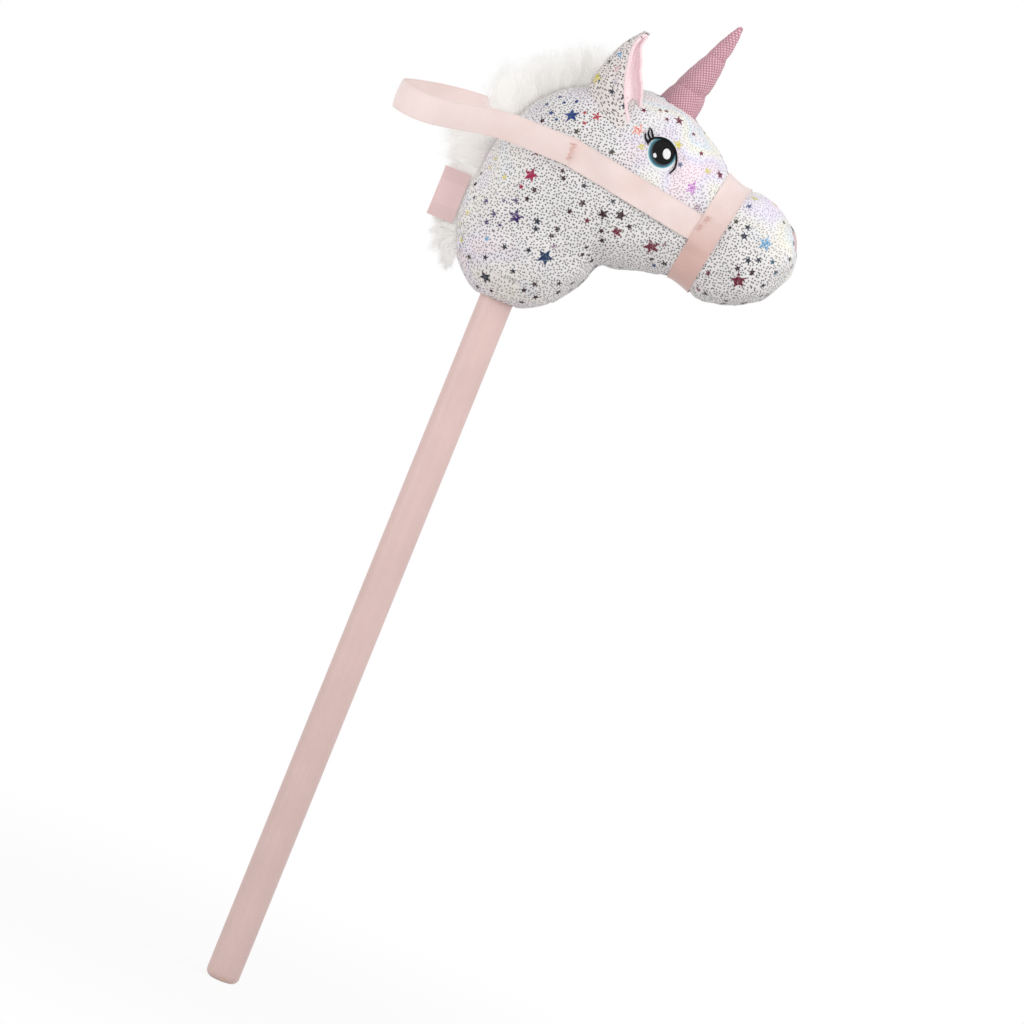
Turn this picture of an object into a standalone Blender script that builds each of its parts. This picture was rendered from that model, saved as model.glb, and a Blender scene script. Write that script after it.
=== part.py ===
"""A hobby horse: a stuffed unicorn head on a round wooden pole.

Metres, +Z up. The origin is the middle of the pole's foot, the pole stands on the Z axis and the
head faces +X. The right side of the horse is at -Y. The head is sewn from two side panels, a face
gusset, a strip that carries the mane and a base panel round the pole, over three lumps of stuffing.
The pole stands in the world's frame. All the rest hangs on an empty at the neck's base, and its
heights are counted from there.
"""

import math

import bmesh
import bpy
import numpy as np
from mathutils import Vector
from mathutils.bvhtree import BVHTree

# Pole
POLE_RADIUS = 0.0125
POLE_EXPOSED = 0.531  # from the foot to the neck's base
POLE_INSERT = 0.098  # how far the pole runs up inside the neck
POLE_EDGE_RADIUS = 0.0055  # rounding of the foot
POLE_CHAMFER = 0.0015  # at the hidden top
POLE_SIDES = 32
SHARP_ANGLE = math.radians(40)

# Clearances
FIT = 0.0003  # between two pieces that touch in life
SEAM_GAP = 0.0004  # between two panels along their seam
LAY_GAP = 0.0007  # under a ribbon or pad that lies on the rounded skin

# Cloth
FABRIC = 0.0016  # printed panel with its backing
RIBBON_WIDTH = 0.020
RIBBON_THICK = 0.0009

# The head's stations, from the neck's base to the tip of the nose. Each is one flat section across
# the head: its crest point (x, z), its under point (x, z) and its half width.
STATIONS = (
    (-0.0420, 0.0220, 0.0380, 0.0120, 0.0360),  # neck base
    (-0.0485, 0.0410, 0.0510, 0.0305, 0.0435),  # withers
    (-0.0498, 0.0590, 0.0585, 0.0445, 0.0455),  # neck
    (-0.0465, 0.0870, 0.0615, 0.0486, 0.0465),  # lower crest, at the throat
    (-0.0385, 0.1220, 0.0640, 0.0500, 0.0485),  # upper crest
    (-0.0180, 0.1540, 0.0675, 0.0512, 0.0500),  # nape
    (0.0140, 0.1705, 0.0720, 0.0528, 0.0498),  # poll, between the ears
    (0.0480, 0.1795, 0.0790, 0.0550, 0.0475),  # forehead
    (0.0770, 0.1775, 0.0870, 0.0576, 0.0440),  # horn
    (0.1040, 0.1610, 0.0975, 0.0602, 0.0405),  # bridge of the nose
    (0.1220, 0.1480, 0.1075, 0.0616, 0.0390),  # back edge of the noseband
    (0.1455, 0.1420, 0.1305, 0.0561, 0.0405),  # front edge of the noseband
    (0.1600, 0.1378, 0.1445, 0.0559, 0.0413),  # muzzle
    (0.1730, 0.1308, 0.1595, 0.0596, 0.0385),  # upper lip
    (0.1820, 0.1213, 0.1715, 0.0676, 0.0320),
    (0.1872, 0.1115, 0.1800, 0.0763, 0.0225),
    (0.1891, 0.1010, 0.1865, 0.0870, 0.0100),  # edge of the nose cap
)
NOSE_TIP = (0.1894, 0.0940)
SECTION_POWER = 2.6  # 2 is an ellipse, more is squarer
ROWS_PER_STATION = 2
NECK_CUT, MUZZLE_CUT, MANE_END = 5, 10, 6.5  # stations where the stuffing and the strip divide
STRIP_HALF_NECK = 0.014  # half width of the mane strip, along the skin
STRIP_HALF_NOSE = 0.008  # half width of the gusset at the nose
STRIP_COLUMNS, PANEL_COLUMNS = 2, 11  # facets across half a strip and across a side panel
BASE_ROWS = 3  # rings of the base panel between the pole and the base seam
BASE_ROUNDING = 1.6  # power of the base panel's bulge

# Pole mounting inside the neck
SLEEVE_THICK = 0.0012
SLEEVE_LENGTH = 0.070
CAP_WALL = 0.0016
CAP_SKIRT = 0.018
CAP_DOME = 0.0035
TIE_HEIGHT = 0.045  # above the neck's base
TIE_WIDTH = 0.0048
TIE_THICK = 0.0014
TIE_HEAD_DEPTH = 0.0044
TIE_HEAD_WIDTH = 0.0070
TIE_TAIL = 0.0060

# Mane: height and half width of the pile, evenly spaced from the neck's base to between the ears
MANE_SHAPE = (
    (0.0100, 0.0120),
    (0.0150, 0.0124),
    (0.0210, 0.0130),
    (0.0280, 0.0142),
    (0.0330, 0.0168),
    (0.0320, 0.0175),
    (0.0270, 0.0158),
    (0.0120, 0.0146),
)
MANE_ARC_FACETS = 8

# Ears
EAR_X, EAR_Y = 0.0225, 0.0290  # middle of the ear's base
EAR_TOP = 0.2165  # height of the ear's tip above the neck's base
EAR_HALF_DEPTH = 0.0180  # along the way the ear opens
EAR_HALF_WIDTH = 0.0105  # across it
EAR_TURN = math.radians(30)  # the opening turns outwards from straight ahead
EAR_HOOK = 0.0070  # how far the tip curls forwards
EAR_SPLAY = 0.0030  # how far the tip leans outwards
EAR_FABRIC = 0.0013
EAR_TIP_SHARE = 0.16  # size of the ear's rolled tip, as a share of its base
EAR_ROWS, EAR_COLUMNS = 9, 14
EAR_LIPS = ((24, 24), (47, 34), (57, 38), (74, 42), (106, 50), (140, 62))  # near and far lip, degrees
EAR_LINING_TOP = 0.86  # share of the ear's height
EAR_LINING_TRIM = math.radians(5)  # how far the lining stops short of each lip
EAR_PADDING = 0.45  # how far the lining bulges towards the line between the lips
EAR_PADDED_ROWS = 3  # rows over which the bulge grows, from the base up

# Horn
HORN_X = 0.0700
HORN_LENGTH = 0.0702
HORN_RADIUS = 0.0152
HORN_TIP_RADIUS = 0.0018
HORN_TAPER = 0.92  # 1 is a straight cone, less is fuller
HORN_LEAN = math.radians(15)
HORN_FABRIC = 0.0010
HORN_TURNS = 2.6  # turns of the thread that pinches the cone
HORN_PINCH = 0.0014
HORN_PINCH_WIDTH = 0.13  # as a share of one turn
HORN_PINCH_AT_TIP = 0.4  # as a share of the pinch at the base
HORN_FADE = 0.12  # share of the length over which the pinch fades at each end
HORN_FLOOR = (0.2, 0.55, 0.8)  # sizes of the rings under the filling, as shares of its radius
HORN_ROWS, HORN_SIDES = 16, 24

# Bridle
TACK_X, TACK_Z = 0.0124, 0.1174  # where the rein is tacked to the cheek
STRAP_DROP = math.radians(8.9)  # the cheek strap slopes down towards the muzzle
STRAP_OVERLAP = 0.008  # ribbon past the tack, both ways
STRAP_TUCK = 0.010  # strap under the noseband
BAND_STATION = 10.4  # middle of the noseband
BAND_SIDES = 44
STACK_RAMP = 0.011  # over which the noseband climbs onto the strap
LOOP_REACH = 0.1339  # from the tack to the loop's end
LOOP_BEND_DEPTH = 0.045
LOOP_NEAR_DROP, LOOP_DROP_START, LOOP_DROP_END = 0.0113, 0.3, 0.9  # the right side sags, between these shares
LOOP_FAR_RISE, LOOP_FAR_DROP = 0.0070, 0.0018  # the left side arches over the mane, then sags a little
TACK_RADIUS = 0.0020
TACK_HEAD_RADIUS = 0.0036
TACK_HEAD_THICK = 0.0009
TACK_DOME = 0.6  # radius of the head's rounded top, as a share
HOLE_OVERCUT = 0.0036  # how far the tack's hole is cut past the ribbon, each way

# Embroidery
EYE_X, EYE_Z = 0.0730, 0.1428
EYE_HALF_WIDTH, EYE_HALF_HEIGHT = 0.0112, 0.0122
NOSTRIL_AIM = (0.1830, 0.0125, 0.1180)
NOSTRIL_HALF_WIDTH, NOSTRIL_HALF_HEIGHT = 0.0036, 0.0068
PAD_THICK = 0.0010
PAD_AIM_FROM = 0.030  # how far outside its aim a pad is thrown onto the skin from

# Label, sewn into the seam at the back of the neck, on the right
LABEL_LOW, LABEL_HIGH = 0.0385, 0.0755
LABEL_REACH = 0.0190
LABEL_THICK = 0.0011
LABEL_STATION = 2.0
LABEL_STAND_OFF = 0.0011  # from the seam to the label's fold

# Worked out from the sizes above
HALF_COLUMNS = STRIP_COLUMNS + PANEL_COLUMNS
ALL_COLUMNS = 2 * HALF_COLUMNS  # facets round the head
LAST_ROW = BASE_ROWS + (len(STATIONS) - 1) * ROWS_PER_STATION
SEAT = FABRIC + FIT  # depth of the stuffing below the skin's outer face
BORE_RADIUS = (POLE_RADIUS + FIT + max(SLEEVE_THICK, CAP_WALL) + FIT) / math.cos(math.pi / ALL_COLUMNS)


def clear_scene():
    for old in list(bpy.data.objects):
        bpy.data.objects.remove(old)


def finish(name, colour, roughness, metallic=0.0):
    """A plain material with the piece's own colour, roughness and metallic value."""
    made = bpy.data.materials.new(name)
    made.use_nodes = True
    shader = made.node_tree.nodes["Principled BSDF"]
    shader.inputs["Base Color"].default_value = (*colour, 1.0)
    shader.inputs["Roughness"].default_value = roughness
    shader.inputs["Metallic"].default_value = metallic
    made.diffuse_color = (*colour, 1.0)
    return made


def piece(name, points, faces, material, origin=(0, 0, 0)):
    """One closed object from points and faces, with its faces turned outwards and its own origin."""
    mesh = bpy.data.meshes.new(name)
    mesh.from_pydata(np.asarray(points) - origin, [], faces)
    shaped = bmesh.new()
    shaped.from_mesh(mesh)
    bmesh.ops.recalc_face_normals(shaped, faces=shaped.faces)
    shaped.to_mesh(mesh)
    shaped.free()
    mesh.shade_smooth()
    mesh.set_sharp_from_angle(angle=SHARP_ANGLE)
    mesh.materials.append(material)
    made = bpy.data.objects.new(name, mesh)
    made.location = origin
    bpy.context.scene.collection.objects.link(made)
    return made


def grid_faces(rows, columns, closed=False):
    """Triangles of a grid whose points run row by row. A closed grid joins its last column to its first.
    Every layer of cloth is cut along the same diagonals, so that layers stay parallel."""
    wide = columns if closed else columns - 1
    faces = []
    for i in range(rows - 1):
        for j in range(wide):
            k = (j + 1) % columns
            a, b = i * columns + j, i * columns + k
            faces += [(a, b, b + columns), (a, b + columns, a + columns)]
    return faces


def rim_edges(faces):
    """The directed edges that only one face uses."""
    edges = {(f[i], f[(i + 1) % len(f)]) for f in faces for i in range(len(f))}
    return [(a, b) for a, b in edges if (b, a) not in edges]


def wall(name, outer, inner, faces, material, origin=(0, 0, 0)):
    """A closed sheet of cloth: the outer points, the inner points, and a rim along every open edge."""
    outer = np.asarray(outer).reshape(-1, 3)
    inner = np.asarray(inner).reshape(-1, 3)
    count = len(outer)
    back = [tuple(count + k for k in reversed(f)) for f in faces]
    rim = [(b, a, count + a, count + b) for a, b in rim_edges(faces)]
    return piece(name, np.vstack([outer, inner]), list(faces) + back + rim, material, origin)


def loft(name, rings, material, tip=None, origin=(0, 0, 0)):
    """A closed solid through rings of equally many points, with flat ends, or a last end drawn to a tip."""
    rings = [np.asarray(r) for r in rings]
    count = len(rings[0])
    points = np.vstack(rings)
    faces = grid_faces(len(rings), count, closed=True)
    faces.append(tuple(reversed(range(count))))
    last = (len(rings) - 1) * count
    if tip is None:
        faces.append(tuple(range(last, last + count)))
    else:
        points = np.vstack([points, [tip]])
        faces += [(last + j, last + (j + 1) % count, len(points) - 1) for j in range(count)]
    return piece(name, points, faces, material, origin)


def circle(radius, height, sides=POLE_SIDES):
    """A level ring of points round the pole's axis."""
    turn = np.arange(sides) * 2 * math.pi / sides
    return np.column_stack([radius * np.cos(turn), radius * np.sin(turn), np.full(sides, height)])


def turned(name, profile, material, sides=POLE_SIDES):
    """A solid turned round the pole's axis from (radius, height) pairs, with flat ends."""
    return loft(name, [circle(r, z, sides) for r, z in profile], material)


def tube(name, profile_out, profile_in, material, sides=POLE_SIDES):
    """A turned tube that is open at both ends, from its outer and inner (radius, height) pairs."""
    rings = [circle(r, z, sides) for r, z in [*profile_out, *reversed(profile_in)]]
    faces = grid_faces(len(rings), sides, closed=True)
    last = (len(rings) - 1) * sides
    faces += [(last + j, last + (j + 1) % sides, (j + 1) % sides, j) for j in range(sides)]
    return piece(name, np.vstack(rings), faces, material)


def unit(v):
    return v / np.linalg.norm(v)


def eased(share):
    """0 to 1 with a level start and end."""
    share = min(max(share, 0.0), 1.0)
    return share * share * (3 - 2 * share)


def through(values, at):
    """A smooth curve (Catmull-Rom) through rows of values, read at a fractional row number."""
    values = np.asarray(values, float)
    low = int(min(max(math.floor(at), 0), len(values) - 2))
    f = at - low
    p1, p2 = values[low], values[low + 1]
    p0 = values[low - 1] if low > 0 else 2 * p1 - p2
    p3 = values[low + 2] if low + 2 < len(values) else 2 * p2 - p1
    return 0.5 * (2 * p1 + (p2 - p0) * f + (2 * p0 - 5 * p1 + 4 * p2 - p3) * f**2
                  + (3 * p1 - p0 - 3 * p2 + p3) * f**3)


# The head's skin


def section(at, angles):
    """Points of the section at a station: angle 0 is the crest, a half turn is the under point.
    Positive angles run down the right side, towards -Y."""
    crest_x, crest_z, under_x, under_z, half_width = through(STATIONS, at)
    crest = np.array([crest_x, 0, crest_z])
    under = np.array([under_x, 0, under_z])
    power = 2 / SECTION_POWER
    up = np.sign(np.cos(angles)) * np.abs(np.cos(angles)) ** power
    out = -np.sign(np.sin(angles)) * np.abs(np.sin(angles)) ** power
    middle, reach = (crest + under) / 2, (crest - under) / 2
    return middle + up[:, None] * reach + out[:, None] * np.array([0, half_width, 0])


def strip_half(at):
    """Half width of the strip between the side panels: even along the neck, narrowing to the nose."""
    share = eased((at - MANE_END) / (len(STATIONS) - 1 - MANE_END))
    return STRIP_HALF_NECK + (STRIP_HALF_NOSE - STRIP_HALF_NECK) * share


def ring(at):
    """One row of the skin's grid, from the crest down the right side and back up the left."""
    fine = section(at, np.linspace(0, math.pi, 121))
    along = np.concatenate([[0], np.cumsum(np.linalg.norm(np.diff(fine, axis=0), axis=1))])
    half = strip_half(at)
    stops = np.concatenate([
        np.linspace(0, half, STRIP_COLUMNS + 1),
        np.linspace(half, along[-1], PANEL_COLUMNS + 1)[1:],
    ])
    right = np.column_stack([np.interp(stops, along, fine[:, k]) for k in range(3)])
    left = right[-2:0:-1] * (1, -1, 1)
    return np.vstack([right, left])


def bore_ring(radius, height):
    """A level ring round the pole whose points stand in step with the skin's columns."""
    turn = math.pi * (1 + 2 * np.arange(ALL_COLUMNS) / ALL_COLUMNS)
    return np.column_stack([radius * np.cos(turn), radius * np.sin(turn), np.full(ALL_COLUMNS, height)])


def base_rows(first):
    """The base panel's rows, from the pole's hole out to the base seam, which is the first ring."""
    hole = bore_ring(BORE_RADIUS, 0)
    rows = []
    for k in range(BASE_ROWS):
        share = k / BASE_ROWS
        row = hole + (first - hole) * share
        row[:, 2] = first[:, 2] * share**BASE_ROUNDING
        rows.append(row)
    return rows


def grid_normals(grid):
    """Outward unit normals of a grid that is closed round its rows."""
    along = np.gradient(grid, axis=0)
    round_ = np.roll(grid, -1, axis=1) - np.roll(grid, 1, axis=1)
    normals = np.cross(round_, along)
    normals /= np.linalg.norm(normals, axis=2)[..., None]
    middle = grid.mean(axis=1, keepdims=True)
    if np.einsum("ijk,ijk->ij", normals, grid - middle)[len(grid) // 2].mean() < 0:
        normals = -normals
    return normals


def row_of(station):
    """The grid row of a station."""
    return BASE_ROWS + round(station * ROWS_PER_STATION)


def skin_grid():
    stations = [k / ROWS_PER_STATION for k in range((len(STATIONS) - 1) * ROWS_PER_STATION + 1)]
    rings = [ring(at) for at in stations]
    return np.array([*base_rows(rings[0]), *rings])


def nose_tip(lift):
    return np.array([NOSE_TIP[0] + lift, 0, NOSE_TIP[1]])


def pull(block, edge, inner, gap):
    """Moves one edge of a block of points towards its inner neighbour by gap."""
    way = inner - edge
    return edge + way / np.linalg.norm(way, axis=-1)[..., None] * gap


def trimmed(block, top=False, bottom=False, sides=True):
    """A block of grid points drawn in by half a seam gap along the edges that meet another panel."""
    block = block.copy()
    gap = SEAM_GAP / 2
    if sides:
        block[:, 0] = pull(block, block[:, 0], block[:, 1], gap)
        block[:, -1] = pull(block, block[:, -1], block[:, -2], gap)
    if top:
        block[-1] = pull(block, block[-1], block[-2], gap)
    if bottom:
        block[0] = pull(block, block[0], block[1], gap)
    return block


def side_columns(side):
    """Grid columns of a side panel, between the strip's seam and the under seam. Side 1 is the right."""
    if side > 0:
        return np.arange(STRIP_COLUMNS, HALF_COLUMNS + 1)
    return np.arange(HALF_COLUMNS, ALL_COLUMNS - STRIP_COLUMNS + 1)


def strip_columns():
    return np.arange(-STRIP_COLUMNS, STRIP_COLUMNS + 1) % ALL_COLUMNS


def make_side_panel(name, side, grid, normals, cloth):
    rows = slice(row_of(0), LAST_ROW + 1)
    columns = side_columns(side)
    outer = trimmed(grid[rows][:, columns], top=True, bottom=True)
    inner = trimmed((grid - normals * FABRIC)[rows][:, columns], top=True, bottom=True)
    return wall(name, outer, inner, grid_faces(outer.shape[0], outer.shape[1]), cloth)


def make_mane_backing(grid, normals, cloth):
    rows = slice(row_of(0), row_of(MANE_END) + 1)
    columns = strip_columns()
    outer = trimmed(grid[rows][:, columns], top=True, bottom=True)
    inner = trimmed((grid - normals * FABRIC)[rows][:, columns], top=True, bottom=True)
    return wall("mane_backing", outer, inner, grid_faces(outer.shape[0], outer.shape[1]), cloth)


def make_face_gusset(grid, normals, cloth):
    """The gusset runs from the poll down the face and ends in a small oval that closes the nose."""
    rows = slice(row_of(MANE_END), LAST_ROW + 1)
    columns = strip_columns()
    faces = None
    layers = []
    for depth, tip_lift in ((0, 0), (FABRIC, -FABRIC)):
        block = trimmed((grid - normals * depth)[rows][:, columns], bottom=True)
        high, wide = block.shape[:2]
        cap_ring = (grid - normals * depth)[LAST_ROW]
        rest = [j for j in range(ALL_COLUMNS) if j not in set(columns.tolist())]
        tip = nose_tip(tip_lift)
        cap = cap_ring[rest] + (tip - cap_ring[rest]) * (
            SEAM_GAP / 2 / np.linalg.norm(tip - cap_ring[rest], axis=1)[:, None])
        layers.append(np.vstack([block.reshape(-1, 3), cap, [tip]]))
        strip_end = [(high - 1) * wide + k for k in range(wide)]
        cap_ids = [high * wide + k for k in range(len(rest))]
        loop = strip_end + cap_ids
        tip_id = len(layers[0]) - 1
        faces = grid_faces(high, wide) + [
            (loop[k], loop[(k + 1) % len(loop)], tip_id) for k in range(len(loop))]
    return wall("face_gusset", layers[0], layers[1], faces, cloth)


def make_base_panel(grid, normals, cloth):
    rows = slice(0, row_of(0) + 1)
    outer = grid[rows].copy()
    inner = (grid - normals * FABRIC)[rows].copy()
    for layer in (outer, inner):
        layer[-1] = pull(layer, layer[-1], layer[-2], SEAM_GAP / 2)
        layer[0] = pull(layer, layer[0], layer[1], SEAM_GAP / 2)
    return wall("neck_base_panel", outer, inner,
                grid_faces(len(outer), ALL_COLUMNS, closed=True), cloth)


# Stuffing


def section_way(station):
    """Unit vector across a station's flat section, towards the nose."""
    crest_x, crest_z, under_x, under_z, _ = through(STATIONS, station)
    return unit(np.array([crest_z - under_z, 0, under_x - crest_x]))


def bore_rings():
    """Rings of the hole that the pole's end, its cap and its tie fill, from the top down to the mouth."""
    top = POLE_INSERT + FIT + CAP_WALL + CAP_DOME + FIT
    reach = POLE_RADIUS + 2 * FIT + SLEEVE_THICK + TIE_THICK + TIE_HEAD_DEPTH
    recess = (math.hypot(reach, TIE_HEAD_WIDTH / 2) + FIT) / math.cos(math.pi / ALL_COLUMNS)
    half = TIE_WIDTH / 2 + 3 * FIT
    steps = ((BORE_RADIUS, top), (BORE_RADIUS, TIE_HEIGHT + half), (recess, TIE_HEIGHT + half),
             (recess, TIE_HEIGHT - half), (BORE_RADIUS, TIE_HEIGHT - half))
    return [bore_ring(radius, height) for radius, height in steps]


def make_stuffing(grid, normals, fill):
    inner = grid - normals * SEAT
    neck_top, muzzle_back = row_of(NECK_CUT), row_of(MUZZLE_CUT)
    to_head, to_muzzle = section_way(NECK_CUT) * FIT / 2, section_way(MUZZLE_CUT) * FIT / 2
    neck = [*bore_rings(), *inner[: neck_top], inner[neck_top] - to_head]
    loft("neck_stuffing", neck, fill)
    head = [inner[neck_top] + to_head, *inner[neck_top + 1 : muzzle_back], inner[muzzle_back] - to_muzzle]
    loft("head_stuffing", head, fill)
    muzzle = [inner[muzzle_back] + to_muzzle, *inner[muzzle_back + 1 :]]
    loft("muzzle_stuffing", muzzle, fill, tip=nose_tip(-SEAT))


# Pole and what fixes the head to it


def make_pole(wood):
    """A dowel with a rounded foot and a small chamfer at its hidden top."""
    flat = POLE_RADIUS - POLE_EDGE_RADIUS
    foot = [(flat + POLE_EDGE_RADIUS * math.sin(a), POLE_EDGE_RADIUS * (1 - math.cos(a)))
            for a in np.linspace(0, math.pi / 2, 6)]
    top = POLE_EXPOSED + POLE_INSERT
    shaft = [(POLE_RADIUS, top - POLE_CHAMFER), (POLE_RADIUS - POLE_CHAMFER, top)]
    return turned("pole", [*foot, *shaft], wood)


def make_pole_cap(plastic):
    """A moulded cap over the pole's hidden end, so that the wood can't push through the stuffing."""
    inside = POLE_RADIUS + FIT
    outside = inside + CAP_WALL
    roof = POLE_INSERT + FIT
    dome = [(outside * math.cos(a), roof + CAP_WALL + CAP_DOME * math.sin(a))
            for a in np.linspace(0, math.radians(78), 5)]
    rings = [(inside, roof), (inside, roof - CAP_SKIRT), (outside, roof - CAP_SKIRT), *dome]
    turned("pole_top_cap", rings, plastic)


def make_sleeve(cloth):
    """The lining tube that the neck's cloth is sewn to, on the pole."""
    inside = POLE_RADIUS + FIT
    tube("pole_sleeve", [(inside + SLEEVE_THICK, 0), (inside + SLEEVE_THICK, SLEEVE_LENGTH)],
         [(inside, 0), (inside, SLEEVE_LENGTH)], cloth)


def make_tie(plastic):
    """A cable tie that cinches the sleeve onto the pole: a flat band, its square head and a cut tail."""
    inside = POLE_RADIUS + FIT + SLEEVE_THICK + FIT
    outside = inside + TIE_THICK
    low, high = TIE_HEIGHT - TIE_WIDTH / 2, TIE_HEIGHT + TIE_WIDTH / 2
    band = tube("sleeve_tie", [(outside, low), (outside, high)], [(inside, low), (inside, high)], plastic)
    sink = TIE_THICK / 2  # how far the head and the tail run into the band
    blocks = (
        (TIE_HEAD_DEPTH, TIE_HEAD_WIDTH, TIE_WIDTH + 2 * FIT, 0.0),
        (TIE_HEAD_DEPTH / 2, TIE_TAIL, TIE_WIDTH * 0.8, TIE_HEAD_WIDTH),
    )
    for number, (deep, wide, tall, across) in enumerate(blocks):
        corners = [(-sink, -wide / 2), (deep, -wide / 2), (deep, wide / 2), (-sink, wide / 2)]
        turn = across / outside
        foot = []
        for x, y in corners:
            px, py = outside + x, y
            foot.append((-(px * math.cos(turn) - py * math.sin(turn)),
                        px * math.sin(turn) + py * math.cos(turn), TIE_HEIGHT - tall / 2))
        block = loft(f"tie_block_{number}", [foot, [(x, y, z + tall) for x, y, z in foot]], plastic)
        block.hide_render = True
        block.display_type = "WIRE"
        join = band.modifiers.new(f"block_{number}", "BOOLEAN")
        join.operation = "UNION"
        join.object = block


# Mane


def make_mane_fur(grid, normals, fur):
    """The pile as one plain crest that stands on the strip and flares past it."""
    last = row_of(MANE_END)
    rings = []
    for row in range(row_of(0), last + 1):
        at = (row - BASE_ROWS) / ROWS_PER_STATION
        height, half = through(MANE_SHAPE, at * (len(MANE_SHAPE) - 1) / MANE_END)
        seat = (grid + normals * FIT)[row][strip_columns()]
        crest, up = grid[row][0], normals[row][0]
        dome = []
        for k in range(MANE_ARC_FACETS + 1):
            a = math.pi * (k / MANE_ARC_FACETS - 0.5)
            dome.append(crest + up * (FABRIC + height * math.cos(a)) + np.array([0, half * math.sin(a), 0]))
        rings.append(np.vstack([seat, dome]))
    loft("mane_fur", rings, fur)


# Ears


def drop_to_skin(skin, x, y, lift=0.0):
    """Height of the skin straight below a point above the head, or of a point lifted off the skin."""
    place, normal, _, _ = skin.ray_cast(Vector((x, y, 1)), Vector((0, 0, -1)))
    return place.z + lift / max(abs(normal.z), 0.25)


def ear_layer(skin, side, depth, lift, start=0.0, stop=1.0, mouth_extra=0.0):
    """A grid of points on the ear, depth inside its outer face. Side 1 is the right ear."""
    opening = np.array([math.cos(EAR_TURN), -side * math.sin(EAR_TURN)])
    across = np.array([-opening[1], opening[0]])
    rows = []
    for i in range(EAR_ROWS):
        t = start + (stop - start) * i / (EAR_ROWS - 1)
        swell = EAR_TIP_SHARE + (1 - EAR_TIP_SHARE) * (1 - t**1.7) ** 0.8
        long = EAR_HALF_DEPTH * swell - depth
        wide = EAR_HALF_WIDTH * swell - depth
        near, far = np.radians(through(EAR_LIPS, t * (len(EAR_LIPS) - 1))) + mouth_extra
        first, last = (far, near) if side > 0 else (near, far)
        axis = np.array([EAR_X + EAR_HOOK * t**4, -side * (EAR_Y + EAR_SPLAY * t)])
        row = []
        for a in np.linspace(first, 2 * math.pi - last, EAR_COLUMNS):
            at = axis + opening * long * math.cos(a) + across * wide * math.sin(a)
            base = np.array([EAR_X, -side * EAR_Y]) + (at - axis) / swell
            low = drop_to_skin(skin, base[0], base[1], lift)
            row.append((at[0], at[1], low + (EAR_TOP - low) * t))
        rows.append(row)
    return np.array(rows)


def make_ear(side, word, skin, cloth, lining):
    faces = grid_faces(EAR_ROWS, EAR_COLUMNS)
    outer = ear_layer(skin, side, 0.0, LAY_GAP)
    inner = ear_layer(skin, side, EAR_FABRIC, LAY_GAP)
    wall(f"ear_shell_{word}", outer, inner, faces, cloth)
    seat = EAR_FABRIC + LAY_GAP
    extent = (0.0, EAR_LINING_TOP, EAR_LINING_TRIM)
    outer = ear_layer(skin, side, seat, 2 * LAY_GAP, *extent)
    inner = ear_layer(skin, side, seat + EAR_FABRIC, 2 * LAY_GAP, *extent)
    across = np.linspace(0, 1, EAR_COLUMNS)[:, None]
    chord = inner[:, :1] + (inner[:, -1:] - inner[:, :1]) * across
    swell = np.array([eased(row / EAR_PADDED_ROWS) for row in range(EAR_ROWS)])[:, None, None]
    inner += (chord - inner) * EAR_PADDING * swell * np.sin(math.pi * across)
    wall(f"ear_lining_{word}", outer, inner, faces, lining)


# Horn


def horn_radius(share, turn):
    """Radius of the stuffed cone, pinched by a thread that winds up it."""
    cone = HORN_TIP_RADIUS + (HORN_RADIUS - HORN_TIP_RADIUS) * (1 - share) ** HORN_TAPER
    phase = (share * HORN_TURNS - turn / (2 * math.pi)) % 1.0
    pinch = math.exp(-(((phase - 0.5) / HORN_PINCH_WIDTH) ** 2))
    fade = eased(share / HORN_FADE) * eased((1 - share) / HORN_FADE)
    return cone - HORN_PINCH * pinch * fade * (1 - (1 - HORN_PINCH_AT_TIP) * share)


def horn_rings(skin, depth, lift, top_depth, floor=()):
    """Rings up the horn, depth inside its outer face. The first ring follows the forehead, and floor
    lists the sizes of smaller rings that follow it too, under the horn, as shares of its radius."""
    way = np.array([math.sin(HORN_LEAN), 0, math.cos(HORN_LEAN)])
    ahead = np.array([way[2], 0, -way[0]])
    aside = np.array([0, 1, 0])
    foot = np.array([HORN_X, 0, drop_to_skin(skin, HORN_X, 0)])
    turns = 2 * math.pi * np.arange(HORN_SIDES) / HORN_SIDES
    rings = []
    climb = [(1.0, i / HORN_ROWS) for i in range(HORN_ROWS + 1)]
    for size, share in [(size, 0.0) for size in floor] + climb:
        row = []
        for turn in turns:
            spoke = ahead * math.cos(turn) + aside * math.sin(turn)
            start = foot + spoke * (HORN_RADIUS - depth) * size
            hit = skin.ray_cast(Vector(start + way * HORN_LENGTH), Vector(-way))[0]
            low = float(np.dot(np.array(hit) - foot, way)) + lift
            radius = (horn_radius(share, turn) - depth) * size
            rise = low + (HORN_LENGTH - low) * share - top_depth * eased((share - 0.8) / 0.2)
            row.append(foot + spoke * radius + way * rise)
        rings.append(np.array(row))
    return rings, foot + way * (HORN_LENGTH - top_depth), way


def make_horn(skin, cloth, fill):
    outer, outer_top, way = horn_rings(skin, 0.0, LAY_GAP, 0.0)
    inner, inner_top, _ = horn_rings(skin, HORN_FABRIC, LAY_GAP, HORN_FABRIC)
    rise = way * HORN_TIP_RADIUS * 0.6
    faces = grid_faces(HORN_ROWS + 1, HORN_SIDES, closed=True)
    last = HORN_ROWS * HORN_SIDES
    tip = last + HORN_SIDES
    faces += [(last + j, last + (j + 1) % HORN_SIDES, tip) for j in range(HORN_SIDES)]
    wall("horn_cover", np.vstack([*outer, [outer_top + rise]]), np.vstack([*inner, [inner_top + rise]]),
         faces, cloth)
    seat = HORN_FABRIC + LAY_GAP
    core, core_top, _ = horn_rings(skin, seat, LAY_GAP, 2 * seat, floor=HORN_FLOOR)
    loft("horn_stuffing", core, fill, tip=core_top + rise * 0.5)


# Bridle


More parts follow.
